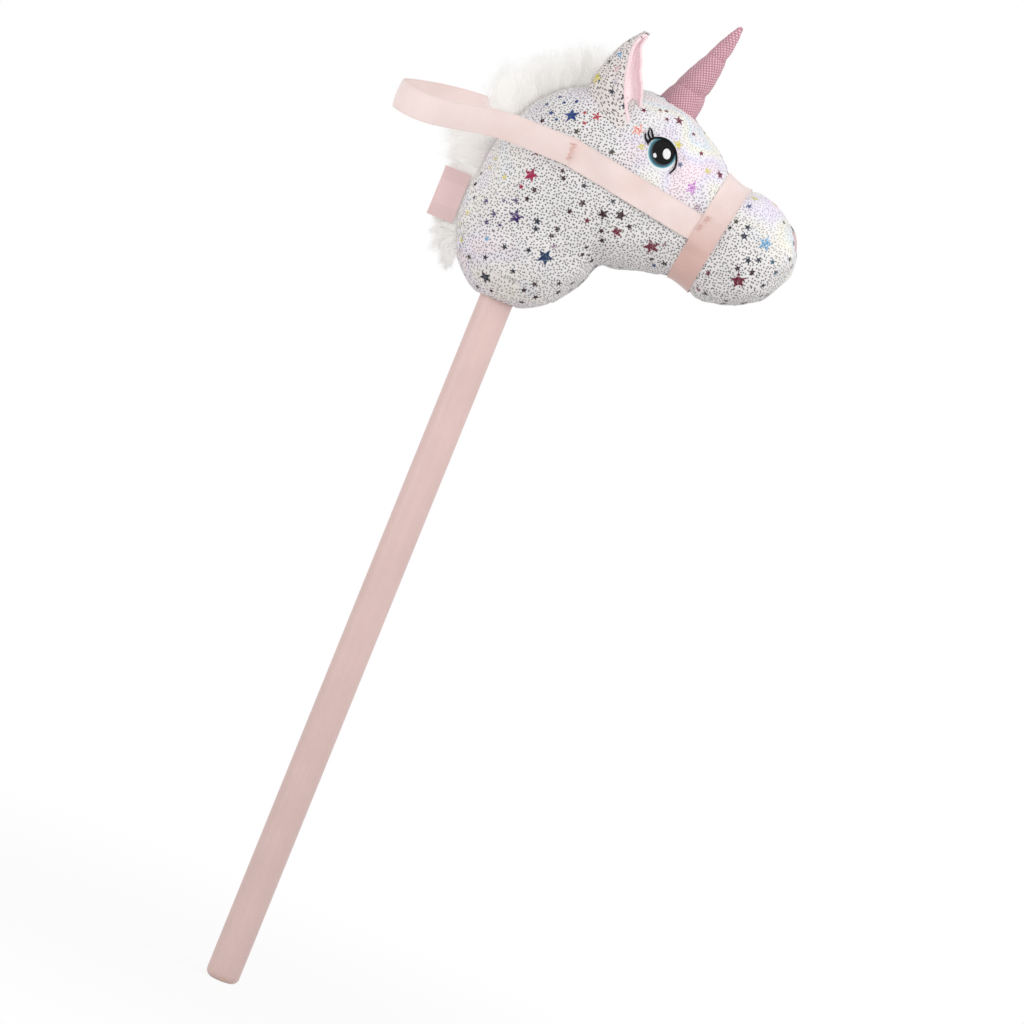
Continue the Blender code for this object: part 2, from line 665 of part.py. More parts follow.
def on_side(skin, side, x, z, lift):
    """The point on the skin beside (x, z), seen from the side, lifted off it. Side 1 is the right."""
    place, normal, _, _ = skin.ray_cast(Vector((x, -side, z)), Vector((0, side, 0)))
    return np.array([x, place.y - side * lift / abs(normal.y), z])


def strap_way():
    return np.array([math.cos(STRAP_DROP), -math.sin(STRAP_DROP)])


def band_middle():
    """Middle of the noseband in the side view, and how far it is along the strap from the tack."""
    crest_x, crest_z, under_x, under_z, _ = through(STATIONS, BAND_STATION)
    tack = np.array([TACK_X, TACK_Z])
    way = strap_way()
    crest, under = np.array([crest_x, crest_z]), np.array([under_x, under_z])
    along = np.linalg.solve(np.column_stack([way, crest - under]), crest - tack)[0]
    return tack + way * along, along


def make_cheek_strap(side, word, skin, ribbon):
    way = strap_way()
    across = np.array([way[1], -way[0]])
    reach = band_middle()[1] - RIBBON_WIDTH / 2 + STRAP_TUCK
    steps, lanes = 15, 5
    outer, inner = [], []
    for s in np.linspace(-STRAP_OVERLAP, reach, steps):
        for c in np.linspace(-0.5, 0.5, lanes):
            x, z = np.array([TACK_X, TACK_Z]) + way * s + across * c * RIBBON_WIDTH
            inner.append(on_side(skin, side, x, z, LAY_GAP))
            outer.append(on_side(skin, side, x, z, LAY_GAP + RIBBON_THICK))
    wall(f"cheek_strap_{word}", outer, inner, grid_faces(steps, lanes), ribbon)
    return np.array(outer)


def make_noseband(ribbon):
    """A closed ribbon round the muzzle, which climbs over the ends of the cheek straps."""
    ahead, behind = through(STATIONS, BAND_STATION + 0.5), through(STATIONS, BAND_STATION - 0.5)
    pitch = math.hypot(*(ahead[k] + ahead[k + 2] - behind[k] - behind[k + 2] for k in (0, 1))) / 2
    half = RIBBON_WIDTH / 2 / pitch
    level = band_middle()[0][1]
    rows = []
    for at in np.linspace(BAND_STATION - half, BAND_STATION + half, 4):
        fine = section(at, np.linspace(0, 2 * math.pi, 481))
        along = np.concatenate([[0], np.cumsum(np.linalg.norm(np.diff(fine, axis=0), axis=1))])
        stops = np.linspace(0, along[-1], BAND_SIDES, endpoint=False)
        rows.append(np.column_stack([np.interp(stops, along, fine[:, k]) for k in range(3)]))
    rows = np.array(rows)
    normals = grid_normals(rows)
    away = np.abs(rows[..., 2] - level) - RIBBON_WIDTH / 2
    climb = np.vectorize(lambda d: eased(1 - (d - FIT) / STACK_RAMP))(away)
    flat = np.abs(normals[..., 1]) < 0.3
    climb[flat] = 0.0
    lift = LAY_GAP + climb * (RIBBON_THICK + LAY_GAP)
    inner = rows + normals * lift[..., None]
    outer = rows + normals * (lift + RIBBON_THICK)[..., None]
    wall("noseband", outer, inner, grid_faces(len(rows), BAND_SIDES, closed=True), ribbon)


def loop_path(span):
    """The rein's middle line, from the right tack round behind the mane to the left tack."""
    end_x = TACK_X - LOOP_REACH
    bend_x = end_x + LOOP_BEND_DEPTH
    straight = np.linspace(TACK_X + STRAP_OVERLAP, bend_x, 7)[:-1]
    bend = np.linspace(0, math.pi, 21)
    xs = np.concatenate([straight, bend_x - LOOP_BEND_DEPTH * np.sin(bend) ** 0.9, straight[::-1]])
    ys = np.concatenate([np.full(6, -span), -span * np.cos(bend), np.full(6, span)])
    back = np.clip((TACK_X - xs) / LOOP_REACH, 0, 1)
    sag = np.vectorize(eased)((back - LOOP_DROP_START) / (LOOP_DROP_END - LOOP_DROP_START))
    right = -LOOP_NEAR_DROP * sag
    left = LOOP_FAR_RISE * np.sin(math.pi * back**0.8) - LOOP_FAR_DROP * back**3
    zs = TACK_Z + right + (left - right) * (1 + ys / span) / 2
    return np.column_stack([xs, ys, zs])


def make_rein(straps, ribbon, thread):
    """The loose loop behind the mane and the two tacks that it swings on."""
    span = np.abs(straps[:, 1]).max() + FIT + RIBBON_THICK / 2 + FIT
    path = loop_path(span)
    way = np.gradient(path, axis=0)
    out = np.column_stack([way[:, 1], -way[:, 0], np.zeros(len(path))])
    out /= -np.linalg.norm(out, axis=1)[:, None]
    up = np.array([0, 0, 1])
    lanes = 3
    outer, inner = [], []
    for place, face in zip(path, out):
        for c in np.linspace(-0.5, 0.5, lanes):
            middle = place + up * c * RIBBON_WIDTH
            outer.append(middle + face * RIBBON_THICK / 2)
            inner.append(middle - face * RIBBON_THICK / 2)
    loop = wall("rein_loop", outer, inner, grid_faces(len(path), lanes), ribbon,
                origin=(TACK_X, 0, TACK_Z))
    for side, word in ((1, "right"), (-1, "left")):
        near = straps[np.sign(straps[:, 1]) == -side]
        gaps = np.hypot(near[:, 0] - TACK_X, near[:, 2] - TACK_Z)
        foot = np.abs(near[np.argsort(gaps)[:4], 1]).max() + FIT
        face = span + RIBBON_THICK / 2
        through_cut = [(TACK_RADIUS + FIT, span + way * HOLE_OVERCUT) for way in (-1, 1)]
        cutter = tack_solid(f"tack_hole_{word}", side, through_cut, thread)
        cutter.hide_render = True
        cutter.display_type = "WIRE"
        cut = loop.modifiers.new(f"hole_{word}", "BOOLEAN")
        cut.operation = "DIFFERENCE"
        cut.object = cutter
        tack_solid(f"rein_tack_{word}", side, [
            (TACK_RADIUS, foot), (TACK_RADIUS, face + FIT), (TACK_HEAD_RADIUS, face + FIT),
            (TACK_HEAD_RADIUS, face + FIT + TACK_HEAD_THICK / 2),
            (TACK_HEAD_RADIUS * TACK_DOME, face + FIT + TACK_HEAD_THICK)], thread)


def tack_solid(name, side, profile, material, sides=14):
    """A round stud on the rein's hinge line, from (radius, distance from the middle) pairs."""
    rings = []
    for radius, reach in profile:
        turn = np.arange(sides) * 2 * math.pi / sides
        rings.append(np.column_stack([
            TACK_X + radius * np.cos(turn), np.full(sides, -side * reach),
            TACK_Z + radius * np.sin(turn)]))
    return loft(name, rings, material)


# Embroidery and label


def make_pad(name, skin, aim, outward, half_u, half_v, material, rings=3, spokes=18):
    """A raised oval of satin stitch that follows the skin round the point that aim looks at."""
    outward = unit(np.array(outward, float))
    side = unit(np.cross((0, 0, 1), outward))
    up = np.cross(outward, side)
    start = np.array(aim) + outward * PAD_AIM_FROM

    def touch(u, v, lift):
        place, normal, _, _ = skin.ray_cast(Vector(start + side * u + up * v), Vector(-outward))
        lean = max(abs(float(np.dot(np.array(normal), outward))), 0.3)
        return np.array(place) + outward * lift / lean

    layers = []
    for lift in (LAY_GAP + PAD_THICK, LAY_GAP):
        points = [touch(0, 0, lift)]
        for r in range(1, rings + 1):
            for k in range(spokes):
                a = 2 * math.pi * k / spokes
                size = r / rings
                points.append(touch(half_u * size * math.cos(a), half_v * size * math.sin(a), lift))
        layers.append(points)
    faces = [(0, 1 + k, 1 + (k + 1) % spokes) for k in range(spokes)]
    for r in range(rings - 1):
        for k in range(spokes):
            a, b = 1 + r * spokes + k, 1 + r * spokes + (k + 1) % spokes
            faces.append((a, a + spokes, b + spokes, b))
    wall(name, layers[0], layers[1], faces, material)


def make_label(grid, cloth):
    """A folded ribbon label that stands out of the mane seam, its fold rounded on the hinge line."""
    seam = grid[row_of(LABEL_STATION)][STRIP_COLUMNS]
    x, y = seam[0] - LABEL_STAND_OFF, seam[1] - LABEL_THICK / 2 - FIT
    half = LABEL_THICK / 2
    outline = [(x - LABEL_REACH, y + half), (x - LABEL_REACH, y - half)]
    outline += [(x + half * math.sin(a), y - half * math.cos(a)) for a in np.linspace(0, math.pi, 7)]
    ends = [[(px, py, height) for px, py in outline] for height in (LABEL_LOW, LABEL_HIGH)]
    loft("seam_label", ends, cloth, origin=(x, y, (LABEL_LOW + LABEL_HIGH) / 2))


def main():
    clear_scene()
    printed = finish("star_print_cloth", (0.86, 0.85, 0.86), 0.62)
    backing = finish("woven_backing", (0.86, 0.85, 0.82), 0.85)
    fill = finish("polyester_fill", (0.93, 0.93, 0.92), 0.95)
    wood = finish("painted_wood", (0.72, 0.49, 0.47), 0.48)
    plastic = finish("white_plastic", (0.82, 0.82, 0.80), 0.4)
    fur = finish("white_fur", (0.85, 0.84, 0.80), 0.9)
    ribbon = finish("pink_ribbon", (0.85, 0.66, 0.62), 0.45)
    plush = finish("pink_plush", (0.86, 0.45, 0.50), 0.9)
    horn_cloth = finish("spotted_pink_cloth", (0.60, 0.22, 0.32), 0.6)
    black = finish("black_thread", (0.02, 0.02, 0.025), 0.5)
    rose = finish("rose_thread", (0.62, 0.20, 0.27), 0.5)
    label_cloth = finish("label_ribbon", (0.70, 0.52, 0.50), 0.55)

    grid = skin_grid()
    normals = grid_normals(grid)
    normals[0] = (0, 0, -1)  # level round the pole's hole
    points = np.vstack([grid.reshape(-1, 3), [nose_tip(0)]])
    faces = grid_faces(len(grid), ALL_COLUMNS, closed=True)
    last = LAST_ROW * ALL_COLUMNS
    faces += [(last + j, last + (j + 1) % ALL_COLUMNS, len(points) - 1) for j in range(ALL_COLUMNS)]
    skin = BVHTree.FromPolygons([Vector(p) for p in points], faces)

    pole = make_pole(wood)
    make_pole_cap(plastic)
    make_sleeve(backing)
    make_tie(plastic)
    make_stuffing(grid, normals, fill)
    make_side_panel("side_panel_right", 1, grid, normals, printed)
    make_side_panel("side_panel_left", -1, grid, normals, printed)
    make_face_gusset(grid, normals, printed)
    make_base_panel(grid, normals, printed)
    make_mane_backing(grid, normals, backing)
    make_mane_fur(grid, normals, fur)
    make_horn(skin, horn_cloth, fill)
    make_noseband(ribbon)
    straps = []
    for side, word in ((1, "right"), (-1, "left")):
        make_ear(side, word, skin, printed, plush)
        straps.append(make_cheek_strap(side, word, skin, ribbon))
        aim = (EYE_X, -side * max(s[4] for s in STATIONS), EYE_Z)
        make_pad(f"eye_{word}", skin, aim, (0.12, -side, 0.30), EYE_HALF_WIDTH, EYE_HALF_HEIGHT, black)
        aim = (NOSTRIL_AIM[0], -side * NOSTRIL_AIM[1], NOSTRIL_AIM[2])
        make_pad(f"nostril_{word}", skin, aim, (1, -side * 0.45, 0.35),
                 NOSTRIL_HALF_WIDTH, NOSTRIL_HALF_HEIGHT, rose, rings=2, spokes=14)
    make_rein(np.vstack(straps), ribbon, rose)
    make_label(grid, label_cloth)

    head = bpy.data.objects.new("head", None)
    head.location = (0, 0, POLE_EXPOSED)
    bpy.context.scene.collection.objects.link(head)
    for made in bpy.context.scene.objects:
        if made not in (head, pole):
            made.parent = head


main()
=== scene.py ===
# %% [markdown]
# # Hobby horse
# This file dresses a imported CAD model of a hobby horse: a stuffed unicorn head, sewn from printed
# cloth, on a painted pole. The CAD model is the frame. Each cell below makes one piece or one finish
# of the real toy, says what it is, and puts it where the frame has it.
#
# The object stands on the Z axis with its nose along +X. Its right side, at -Y, is the one that the
# camera sees. All lengths are in metres.

import math

import bpy
import numpy as np
from mathutils import Matrix, Vector


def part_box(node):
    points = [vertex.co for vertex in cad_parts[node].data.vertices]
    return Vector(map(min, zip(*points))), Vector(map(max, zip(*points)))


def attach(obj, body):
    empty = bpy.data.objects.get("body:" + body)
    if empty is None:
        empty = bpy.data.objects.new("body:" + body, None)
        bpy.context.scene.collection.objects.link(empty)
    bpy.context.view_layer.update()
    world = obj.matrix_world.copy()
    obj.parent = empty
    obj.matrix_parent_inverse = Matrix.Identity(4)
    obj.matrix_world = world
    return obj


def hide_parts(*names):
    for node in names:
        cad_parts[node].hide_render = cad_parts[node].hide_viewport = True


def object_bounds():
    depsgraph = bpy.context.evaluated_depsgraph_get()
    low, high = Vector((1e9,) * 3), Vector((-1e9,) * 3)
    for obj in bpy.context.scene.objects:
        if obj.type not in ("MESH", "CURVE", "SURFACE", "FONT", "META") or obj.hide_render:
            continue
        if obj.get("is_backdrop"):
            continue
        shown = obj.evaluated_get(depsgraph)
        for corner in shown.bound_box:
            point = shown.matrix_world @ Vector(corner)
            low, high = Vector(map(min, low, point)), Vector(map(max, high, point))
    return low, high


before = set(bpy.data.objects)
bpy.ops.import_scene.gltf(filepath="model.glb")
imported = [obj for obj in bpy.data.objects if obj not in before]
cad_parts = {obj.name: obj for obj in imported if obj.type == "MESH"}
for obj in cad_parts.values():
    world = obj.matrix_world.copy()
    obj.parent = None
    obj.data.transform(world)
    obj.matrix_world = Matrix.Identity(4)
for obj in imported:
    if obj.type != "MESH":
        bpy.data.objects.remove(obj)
cad_box = [list(corner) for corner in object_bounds()]

# %% [markdown]
# ## Camera
# The photograph was taken level with the toy's side, from a little in front of it, with the pole
# leaning to the right. So the camera stands back along -Y, is turned a little towards the nose, and
# is rolled. A long lens from far away keeps the near and the far side nearly the same size.

# %% Camera
LOOK_AT = Vector((0.0679, 0.0, 0.3933))
AZIMUTH, ELEVATION, ROLL = math.radians(2.5), math.radians(2.5), math.radians(22.13)
DISTANCE = 4.5
PICTURE_WIDTH = 0.7373  # metres across the picture at the pole

back = Vector((math.sin(AZIMUTH) * math.cos(ELEVATION), -math.cos(AZIMUTH) * math.cos(ELEVATION),
               math.sin(ELEVATION)))
level = Vector((math.cos(AZIMUTH), math.sin(AZIMUTH), 0))
upright = back.cross(level)
right = level * math.cos(ROLL) + upright * math.sin(ROLL)
top = upright * math.cos(ROLL) - level * math.sin(ROLL)

lens = bpy.data.cameras.new("camera")
lens.sensor_width = 36
lens.lens = lens.sensor_width * DISTANCE / PICTURE_WIDTH
lens.clip_start, lens.clip_end = 0.1, 100
camera = bpy.data.objects.new("camera", lens)
place = LOOK_AT + back * DISTANCE
camera.matrix_world = Matrix(((right.x, top.x, back.x, place.x), (right.y, top.y, back.y, place.y),
                              (right.z, top.z, back.z, place.z), (0, 0, 0, 1)))
bpy.context.scene.collection.objects.link(camera)
bpy.context.scene.camera = camera
print("camera", tuple(round(v, 3) for v in place), "lens", round(lens.lens, 1))
RAY = -np.array(back)  # the way the camera looks


def picture_place(points):
    """Where points show in the picture, as x and z on the plane through the pole: each slides along the
    camera's way to that plane, and near ones stand farther out from the middle."""
    flat = points - RAY * (points[..., 1:2] / RAY[1])
    grown = np.array(LOOK_AT) + (flat - np.array(LOOK_AT)) * (1 - points[..., 1:2] / DISTANCE)
    return grown[..., (0, 2)]

# %% [markdown]
# ## Colours and nodes
# Colours are read off a picture as numbers from 0 to 255, which are not amounts of light. The shader
# wants amounts of light, so one helper turns them round. The others add a node with its links in one
# line, join nodes that are often used together, and start a node group, which is a small machine
# that several finishes share.

# %% Helpers for materials


def light(r, g, b):
    """A picture colour, 0 to 255, as amounts of light: c/12.92 below 0.04, else ((c+0.055)/1.055)^2.4."""
    c = np.array([r, g, b]) / 255
    return (*np.where(c <= 0.04045, c / 12.92, ((c + 0.055) / 1.055) ** 2.4).tolist(), 1.0)


def add(tree, kind, inputs=None, **settings):
    """A node with its settings. Each input is linked if it is given a socket, or set to the value."""
    made = tree.nodes.new("ShaderNode" + kind)
    for key, value in settings.items():
        setattr(made, key, value)
    for key, value in (inputs or {}).items():
        if isinstance(value, bpy.types.NodeSocket):
            tree.links.new(value, made.inputs[key])
        else:
            made.inputs[key].default_value = value
    return made


def math_node(tree, operation, a, b=0.5):
    """One sum: a and b are numbers or sockets."""
    return add(tree, "Math", {0: a, 1: b}, operation=operation).outputs[0]


def times(tree, a, b):
    """The product of two numbers or sockets."""
    return math_node(tree, "MULTIPLY", a, b)


def scaled(tree, vector, by):
    """A vector or a colour, longer or shorter by a number."""
    return add(tree, "VectorMath", {0: vector, "Scale": by}, operation="SCALE").outputs[0]


def mix_colours(tree, share, a, b):
    """Colour a turning into colour b by a share that changes over the surface."""
    return add(tree, "Mix", {0: share, 6: a, 7: b}, data_type="RGBA").outputs[2]


def ranged(tree, value, low, high, to_low, to_high, kind="LINEAR"):
    """A value that runs from low to high, made to run from to_low to to_high."""
    return add(tree, "MapRange", {"Value": value, "From Min": low, "From Max": high, "To Min": to_low,
                                  "To Max": to_high}, interpolation_type=kind).outputs[0]


def step_between(tree, value, low, high):
    """0 where value is at low, 1 where it is at high, with a soft step between."""
    return ranged(tree, value, low, high, 0.0, 1.0, "SMOOTHSTEP")


def noise(tree, where, scale, **more):
    """Random clouds between 0 and 1."""
    return add(tree, "TexNoise", {"Vector": where, "Scale": scale, **more}).outputs["Fac"]


def colour_ramp(tree, value, stops):
    """Colours along a value, from pairs of a place and a colour. The first two move the ramp's own stops."""
    made = add(tree, "ValToRGB", {0: value})
    own = made.color_ramp.elements
    for stop, (at, colour) in zip((own[0], own[1]), stops):
        stop.position, stop.color = at, light(*colour)
    for at, colour in stops[2:]:
        own.new(at).color = light(*colour)
    return made.outputs[0]


def object_place(tree):
    """Where a point lies in the object's own space."""
    return add(tree, "TexCoord").outputs["Object"]


def uv_place(tree):
    """Where a point lies on the piece's flat pattern."""
    return add(tree, "TexCoord").outputs["UV"]


def stored(tree, name, kind="Fac"):
    """A number or a colour that is stored at the piece's points."""
    return add(tree, "Attribute", attribute_name=name).outputs[kind]


def emboss(tree, shader, height, distance, strength):
    """Relief on a shader by a Bump node. The height is in shares of the distance."""
    relief = add(tree, "Bump", {"Height": height, "Distance": distance, "Strength": strength})
    tree.links.new(relief.outputs["Normal"], shader.inputs["Normal"])


def new_group(name, takes, gives):
    """An empty node group with named inputs (name, kind, value) and outputs (name, kind)."""
    tree = bpy.data.node_groups.new(name, "ShaderNodeTree")
    for word, kind, value in takes:
        socket = tree.interface.new_socket(word, in_out="INPUT", socket_type="NodeSocket" + kind)
        if value is not None:
            socket.default_value = value
    for word, kind in gives:
        tree.interface.new_socket(word, in_out="OUTPUT", socket_type="NodeSocket" + kind)
    return tree, tree.nodes.new("NodeGroupInput").outputs, tree.nodes.new("NodeGroupOutput").inputs


def use_group(tree, name, inputs):
    """A node group placed in a material with its own values."""
    return add(tree, "Group", inputs, node_tree=bpy.data.node_groups[name]).outputs


def new_finish(name, roughness, **constants):
    """A material with its own Principled shader. Values that are the same all over sit on its sockets."""
    made = bpy.data.materials.new(name)
    made.use_nodes = True
    shader = made.node_tree.nodes["Principled BSDF"]
    shader.inputs["Roughness"].default_value = roughness
    for key, value in constants.items():
        shader.inputs[key.replace("_", " ")].default_value = value
    return made, made.node_tree, shader


# %% [markdown]
# ## Floor, world and lamps
# The real picture has a plain white ground. The world is white to the camera and to reflections, and a
# dimmer light from all sides to everything else. The floor glows white to the camera, except that
# near the toy a tenth of it is matt paint, which keeps the toy's soft shadow. Three broad lamps stand
# on the camera's side: one above the nose, one in front, and one behind the mane.

# %% World and floor
AMBIENT = 0.555
WHITE = (1, 1, 1, 1)


def seen_directly(tree):
    """1 for rays that come from the camera, from reflections or through clear things, 0 for the rest."""
    rays = add(tree, "LightPath").outputs
    return math_node(tree, "MAXIMUM", rays["Is Camera Ray"],
                     math_node(tree, "MAXIMUM", rays["Is Glossy Ray"], rays["Is Transmission Ray"]))


world = bpy.data.worlds.new("studio")
world.use_nodes = True
bpy.context.scene.world = world
tree = world.node_tree
ground = tree.nodes["Background"]
ground.inputs["Color"].default_value = WHITE
tree.links.new(ranged(tree, seen_directly(tree), 0, 1, AMBIENT, 1.0), ground.inputs["Strength"])

floor_paint = bpy.data.materials.new("white_floor")
floor_paint.use_nodes = True
tree = floor_paint.node_tree
tree.nodes.remove(tree.nodes["Principled BSDF"])
matt = add(tree, "BsdfDiffuse", {"Color": (0.78, 0.765, 0.76, 1)}).outputs[0]
glow = add(tree, "Emission", {"Color": WHITE, "Strength": 1.0}).outputs[0]
away = add(tree, "VectorMath", {0: object_place(tree)}, operation="LENGTH").outputs["Value"]
share = times(tree, seen_directly(tree), ranged(tree, away, 0.15, 0.7, 0.9, 1.0))
both = add(tree, "MixShader", {0: share, 1: matt, 2: glow}).outputs[0]
tree.links.new(both, tree.nodes["Material Output"].inputs["Surface"])

FLOOR_REACH = 30.0
ground_mesh = bpy.data.meshes.new("floor")
ground_mesh.from_pydata([(-FLOOR_REACH, -FLOOR_REACH, 0), (FLOOR_REACH, -FLOOR_REACH, 0),
                         (FLOOR_REACH, FLOOR_REACH, 0), (-FLOOR_REACH, FLOOR_REACH, 0)],
                        [], [(0, 1, 2, 3)])
ground_mesh.materials.append(floor_paint)
floor = bpy.data.objects.new("floor", ground_mesh)
bpy.context.scene.collection.objects.link(floor)
floor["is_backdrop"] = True
print("floor and world ready, ambient", AMBIENT)

# %% Lamps
LAMPS_LOOK_AT = Vector((0.06, 0, 0.55))


def add_lamp(name, way, distance, size, power):
    """A square white lamp that looks at the lower head from a direction."""
    lamp = bpy.data.lights.new(name, "AREA")
    lamp.size, lamp.energy = size, power
    made = bpy.data.objects.new(name, lamp)
    way = Vector(way).normalized()
    made.location = LAMPS_LOOK_AT + way * distance
    made.rotation_euler = way.to_track_quat("Z", "Y").to_euler()
    bpy.context.scene.collection.objects.link(made)


add_lamp("key", (0.88, -0.50, 0.62), 1.7, 1.1, 13.3)
add_lamp("front", (0.10, -1.0, 0.30), 2.4, 1.8, 10.2)
add_lamp("left", (-0.90, -0.50, 0.15), 2.0, 1.4, 12)
bpy.context.scene.view_settings.view_transform = "Standard"

# %% [markdown]
# ## Surfaces from numbers
# Every new piece is a grid of points that a formula gives. These helpers turn such grids into
# meshes: a grid becomes rows of four-cornered faces, two grids become a sheet of cloth with a rim,
# and a signed volume tells whether the faces look outwards. Most of what both sides of the head have
# is made for the right side and mirrored.

# %% Helpers for meshes
SIDES = ((1, "right"), (-1, "left"))
MIRROR = np.array([1, -1, 1])


def grid_quads(rows, columns, closed=False):
    """Faces of a grid whose points run row by row, and each corner's row and column. A closed grid
    joins its last column to its first, and its corner columns count on past the join."""
    i, j = np.meshgrid(np.arange(rows - 1), np.arange(columns if closed else columns - 1), indexing="ij")
    row = np.stack([i, i, i + 1, i + 1], -1).reshape(-1, 4)
    column = np.stack([j, j + 1, j + 1, j], -1).reshape(-1, 4)
    return row * columns + column % columns, row, column


def signed_volume(points, faces):
    """Sum of a.(b x c)/6 over the faces cut into triangles. It is negative if they look inwards."""
    a, b, c = points[faces[:, 0]], points[faces[:, 1]], points[faces[:, 2]]
    total = np.einsum("ij,ij->", a, np.cross(b, c))
    if faces.shape[1] == 4:
        total += np.einsum("ij,ij->", a, np.cross(c, points[faces[:, 3]]))
    return total / 6


def make_piece(name, points, faces, material, uv=None, body="horse", slot=None, sharp=50, values=None):
    """A mesh object at the origin from points and arrays of faces, which ride on a body. uv holds one
    pair for each corner, and values holds named numbers or colours for each point."""
    points = np.asarray(points, float).reshape(-1, 3)
    faces = [f for f in (faces if isinstance(faces, list) else [faces]) if len(f)]
    uv = None if uv is None else [np.asarray(c, float) for c in (uv if isinstance(uv, list) else [uv])]
    if sum(signed_volume(points, f) for f in faces) < 0:
        faces = [f[:, ::-1] for f in faces]
        uv = None if uv is None else [c[:, ::-1] for c in uv]
    mesh = bpy.data.meshes.new(name)
    mesh.from_pydata(points.tolist(), [], [corner for f in faces for corner in f.tolist()])
    if uv is not None:
        layer = mesh.uv_layers.new(name="UVMap")
        layer.uv.foreach_set("vector", np.concatenate([c.reshape(-1, 2) for c in uv]).ravel())
    for word, numbers in (values or {}).items():
        numbers = np.asarray(numbers, float)
        kind, field = ("FLOAT", "value") if numbers.ndim == 1 else ("FLOAT_COLOR", "color")
        mesh.attributes.new(word, kind, "POINT").data.foreach_set(field, numbers.ravel())
    mesh.shade_smooth()
    mesh.set_sharp_from_angle(angle=math.radians(sharp))
    mesh.materials.append(material)
    made = bpy.data.objects.new(name, mesh)
    bpy.context.scene.collection.objects.link(made)
    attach(made, body)
    print(f"{name}: {len(points)} points, {sum(len(f) for f in faces)} faces")
    return made


def cloth_shell(outer, inner, closed=False):
    """Points, faces and corner places of a sheet with a thickness: the outer grid, the inner grid
    turned round, and a rim of faces along each open edge."""
    rows, columns = outer.shape[:2]
    count = rows * columns
    front, row, column = grid_quads(rows, columns, closed)
    faces = [front, count + front[:, ::-1]]
    at_row, at_column = [row, row[:, ::-1]], [column, column[:, ::-1]]
    j = np.arange(columns if closed else columns - 1)
    k = np.arange(rows - 1)
    edges = [(j * 0, j + 1, j * 0, j), (j * 0 + rows - 1, j, j * 0 + rows - 1, j + 1)]
    if not closed:
        edges += [(k, k * 0, k + 1, k * 0), (k + 1, k * 0 + columns - 1, k, k * 0 + columns - 1)]
    for r1, c1, r2, c2 in edges:
        a, b = r1 * columns + c1 % columns, r2 * columns + c2 % columns
        faces.append(np.stack([a, b, count + b, count + a], -1))
        at_row.append(np.stack([r1, r2, r2, r1], -1))
        at_column.append(np.stack([c1, c2, c2, c1], -1))
    return (np.vstack([outer.reshape(-1, 3), inner.reshape(-1, 3)]), np.vstack(faces),
            np.vstack(at_row), np.vstack(at_column))


def shell_piece(name, outer, inner, material, u=None, v=None, closed=False, values=None, **more):
    """A cloth shell as a piece. u and v give each grid place's pattern place, in metres."""
    points, faces, row, column = cloth_shell(outer, inner, closed)
    uv = None if u is None else np.stack([u[row, column], v[row, column]], -1)
    if values:
        values = {k: np.concatenate([x.reshape(-1, *x.shape[2:])] * 2) for k, x in values.items()}
    return make_piece(name, points, faces, material, uv=uv, values=values, **more)


def cap_faces(rows, columns):
    """Faces from the first and the last ring of a grid to the two points that follow the grid's own."""
    j = np.arange(columns)
    top, last = (rows - 1) * columns, rows * columns
    return np.vstack([np.stack([(j + 1) % columns, j, np.full(columns, last)], -1),
                      np.stack([top + j, top + (j + 1) % columns, np.full(columns, last + 1)], -1)])


def loft_piece(name, rings, material, ends, **more):
    """A closed form through rings of equally many points, with a point that closes each end."""
    rows, columns = rings.shape[:2]
    side, _, _ = grid_quads(rows, columns, closed=True)
    points = np.vstack([rings.reshape(-1, 3), ends])
    return make_piece(name, points, [side, cap_faces(rows, columns)], material, **more)


def copied(faces, count, size):
    """The faces of one copy, for count copies that have size points each."""
    return (faces + (np.arange(count) * size)[:, None, None]).reshape(-1, faces.shape[1])


def mirrored(points, side):
    """Points of the right side as they are, or mirrored for the left side."""
    return points if side > 0 else points * MIRROR


def unit(v):
    """Vectors of length 1 in the same directions."""
    return v / np.linalg.norm(v, axis=-1, keepdims=True)


def run_length(path):
    """How far along a path each of its points lies."""
    return np.concatenate([[0], np.cumsum(np.linalg.norm(np.diff(path, axis=0), axis=1))])


def tube_grid(path, radius, sides=6):
    """Rings of a tube round paths of shape (..., steps, 3). The circle's two directions are the cross
    products of the path's direction with a fixed way and with each other."""
    way = unit(np.gradient(path, axis=-2))
    helper = np.where(np.abs(way[..., 2:]) < 0.9, (0.0, 0.0, 1.0), (1.0, 0.0, 0.0))
    one = unit(np.cross(way, helper))
    two = np.cross(way, one)
    turn = np.arange(sides) * 2 * math.pi / sides
    radius = np.broadcast_to(np.asarray(radius, float), path.shape[:-1])
    return (path[..., None, :] + radius[..., None, None]
            * (one[..., None, :] * np.cos(turn)[:, None] + two[..., None, :] * np.sin(turn)[:, None]))


# %% [markdown]
# ## The head's skin as a function
# The head is one smooth skin through seventeen cross sections, the same that the CAD model was cut
# from. Each is a rounded square: its height goes with cos(a)^(2/p) and its width with sin(a)^(2/p),
# where p above 2 makes it squarer. A smooth curve through the sections gives one for any place in
# between. A point on the skin has two numbers: its station, from 0 at the neck to 16 at the nose,
# and its share of the way round, from 0 at the crest to 1 underneath, negative on the left side.

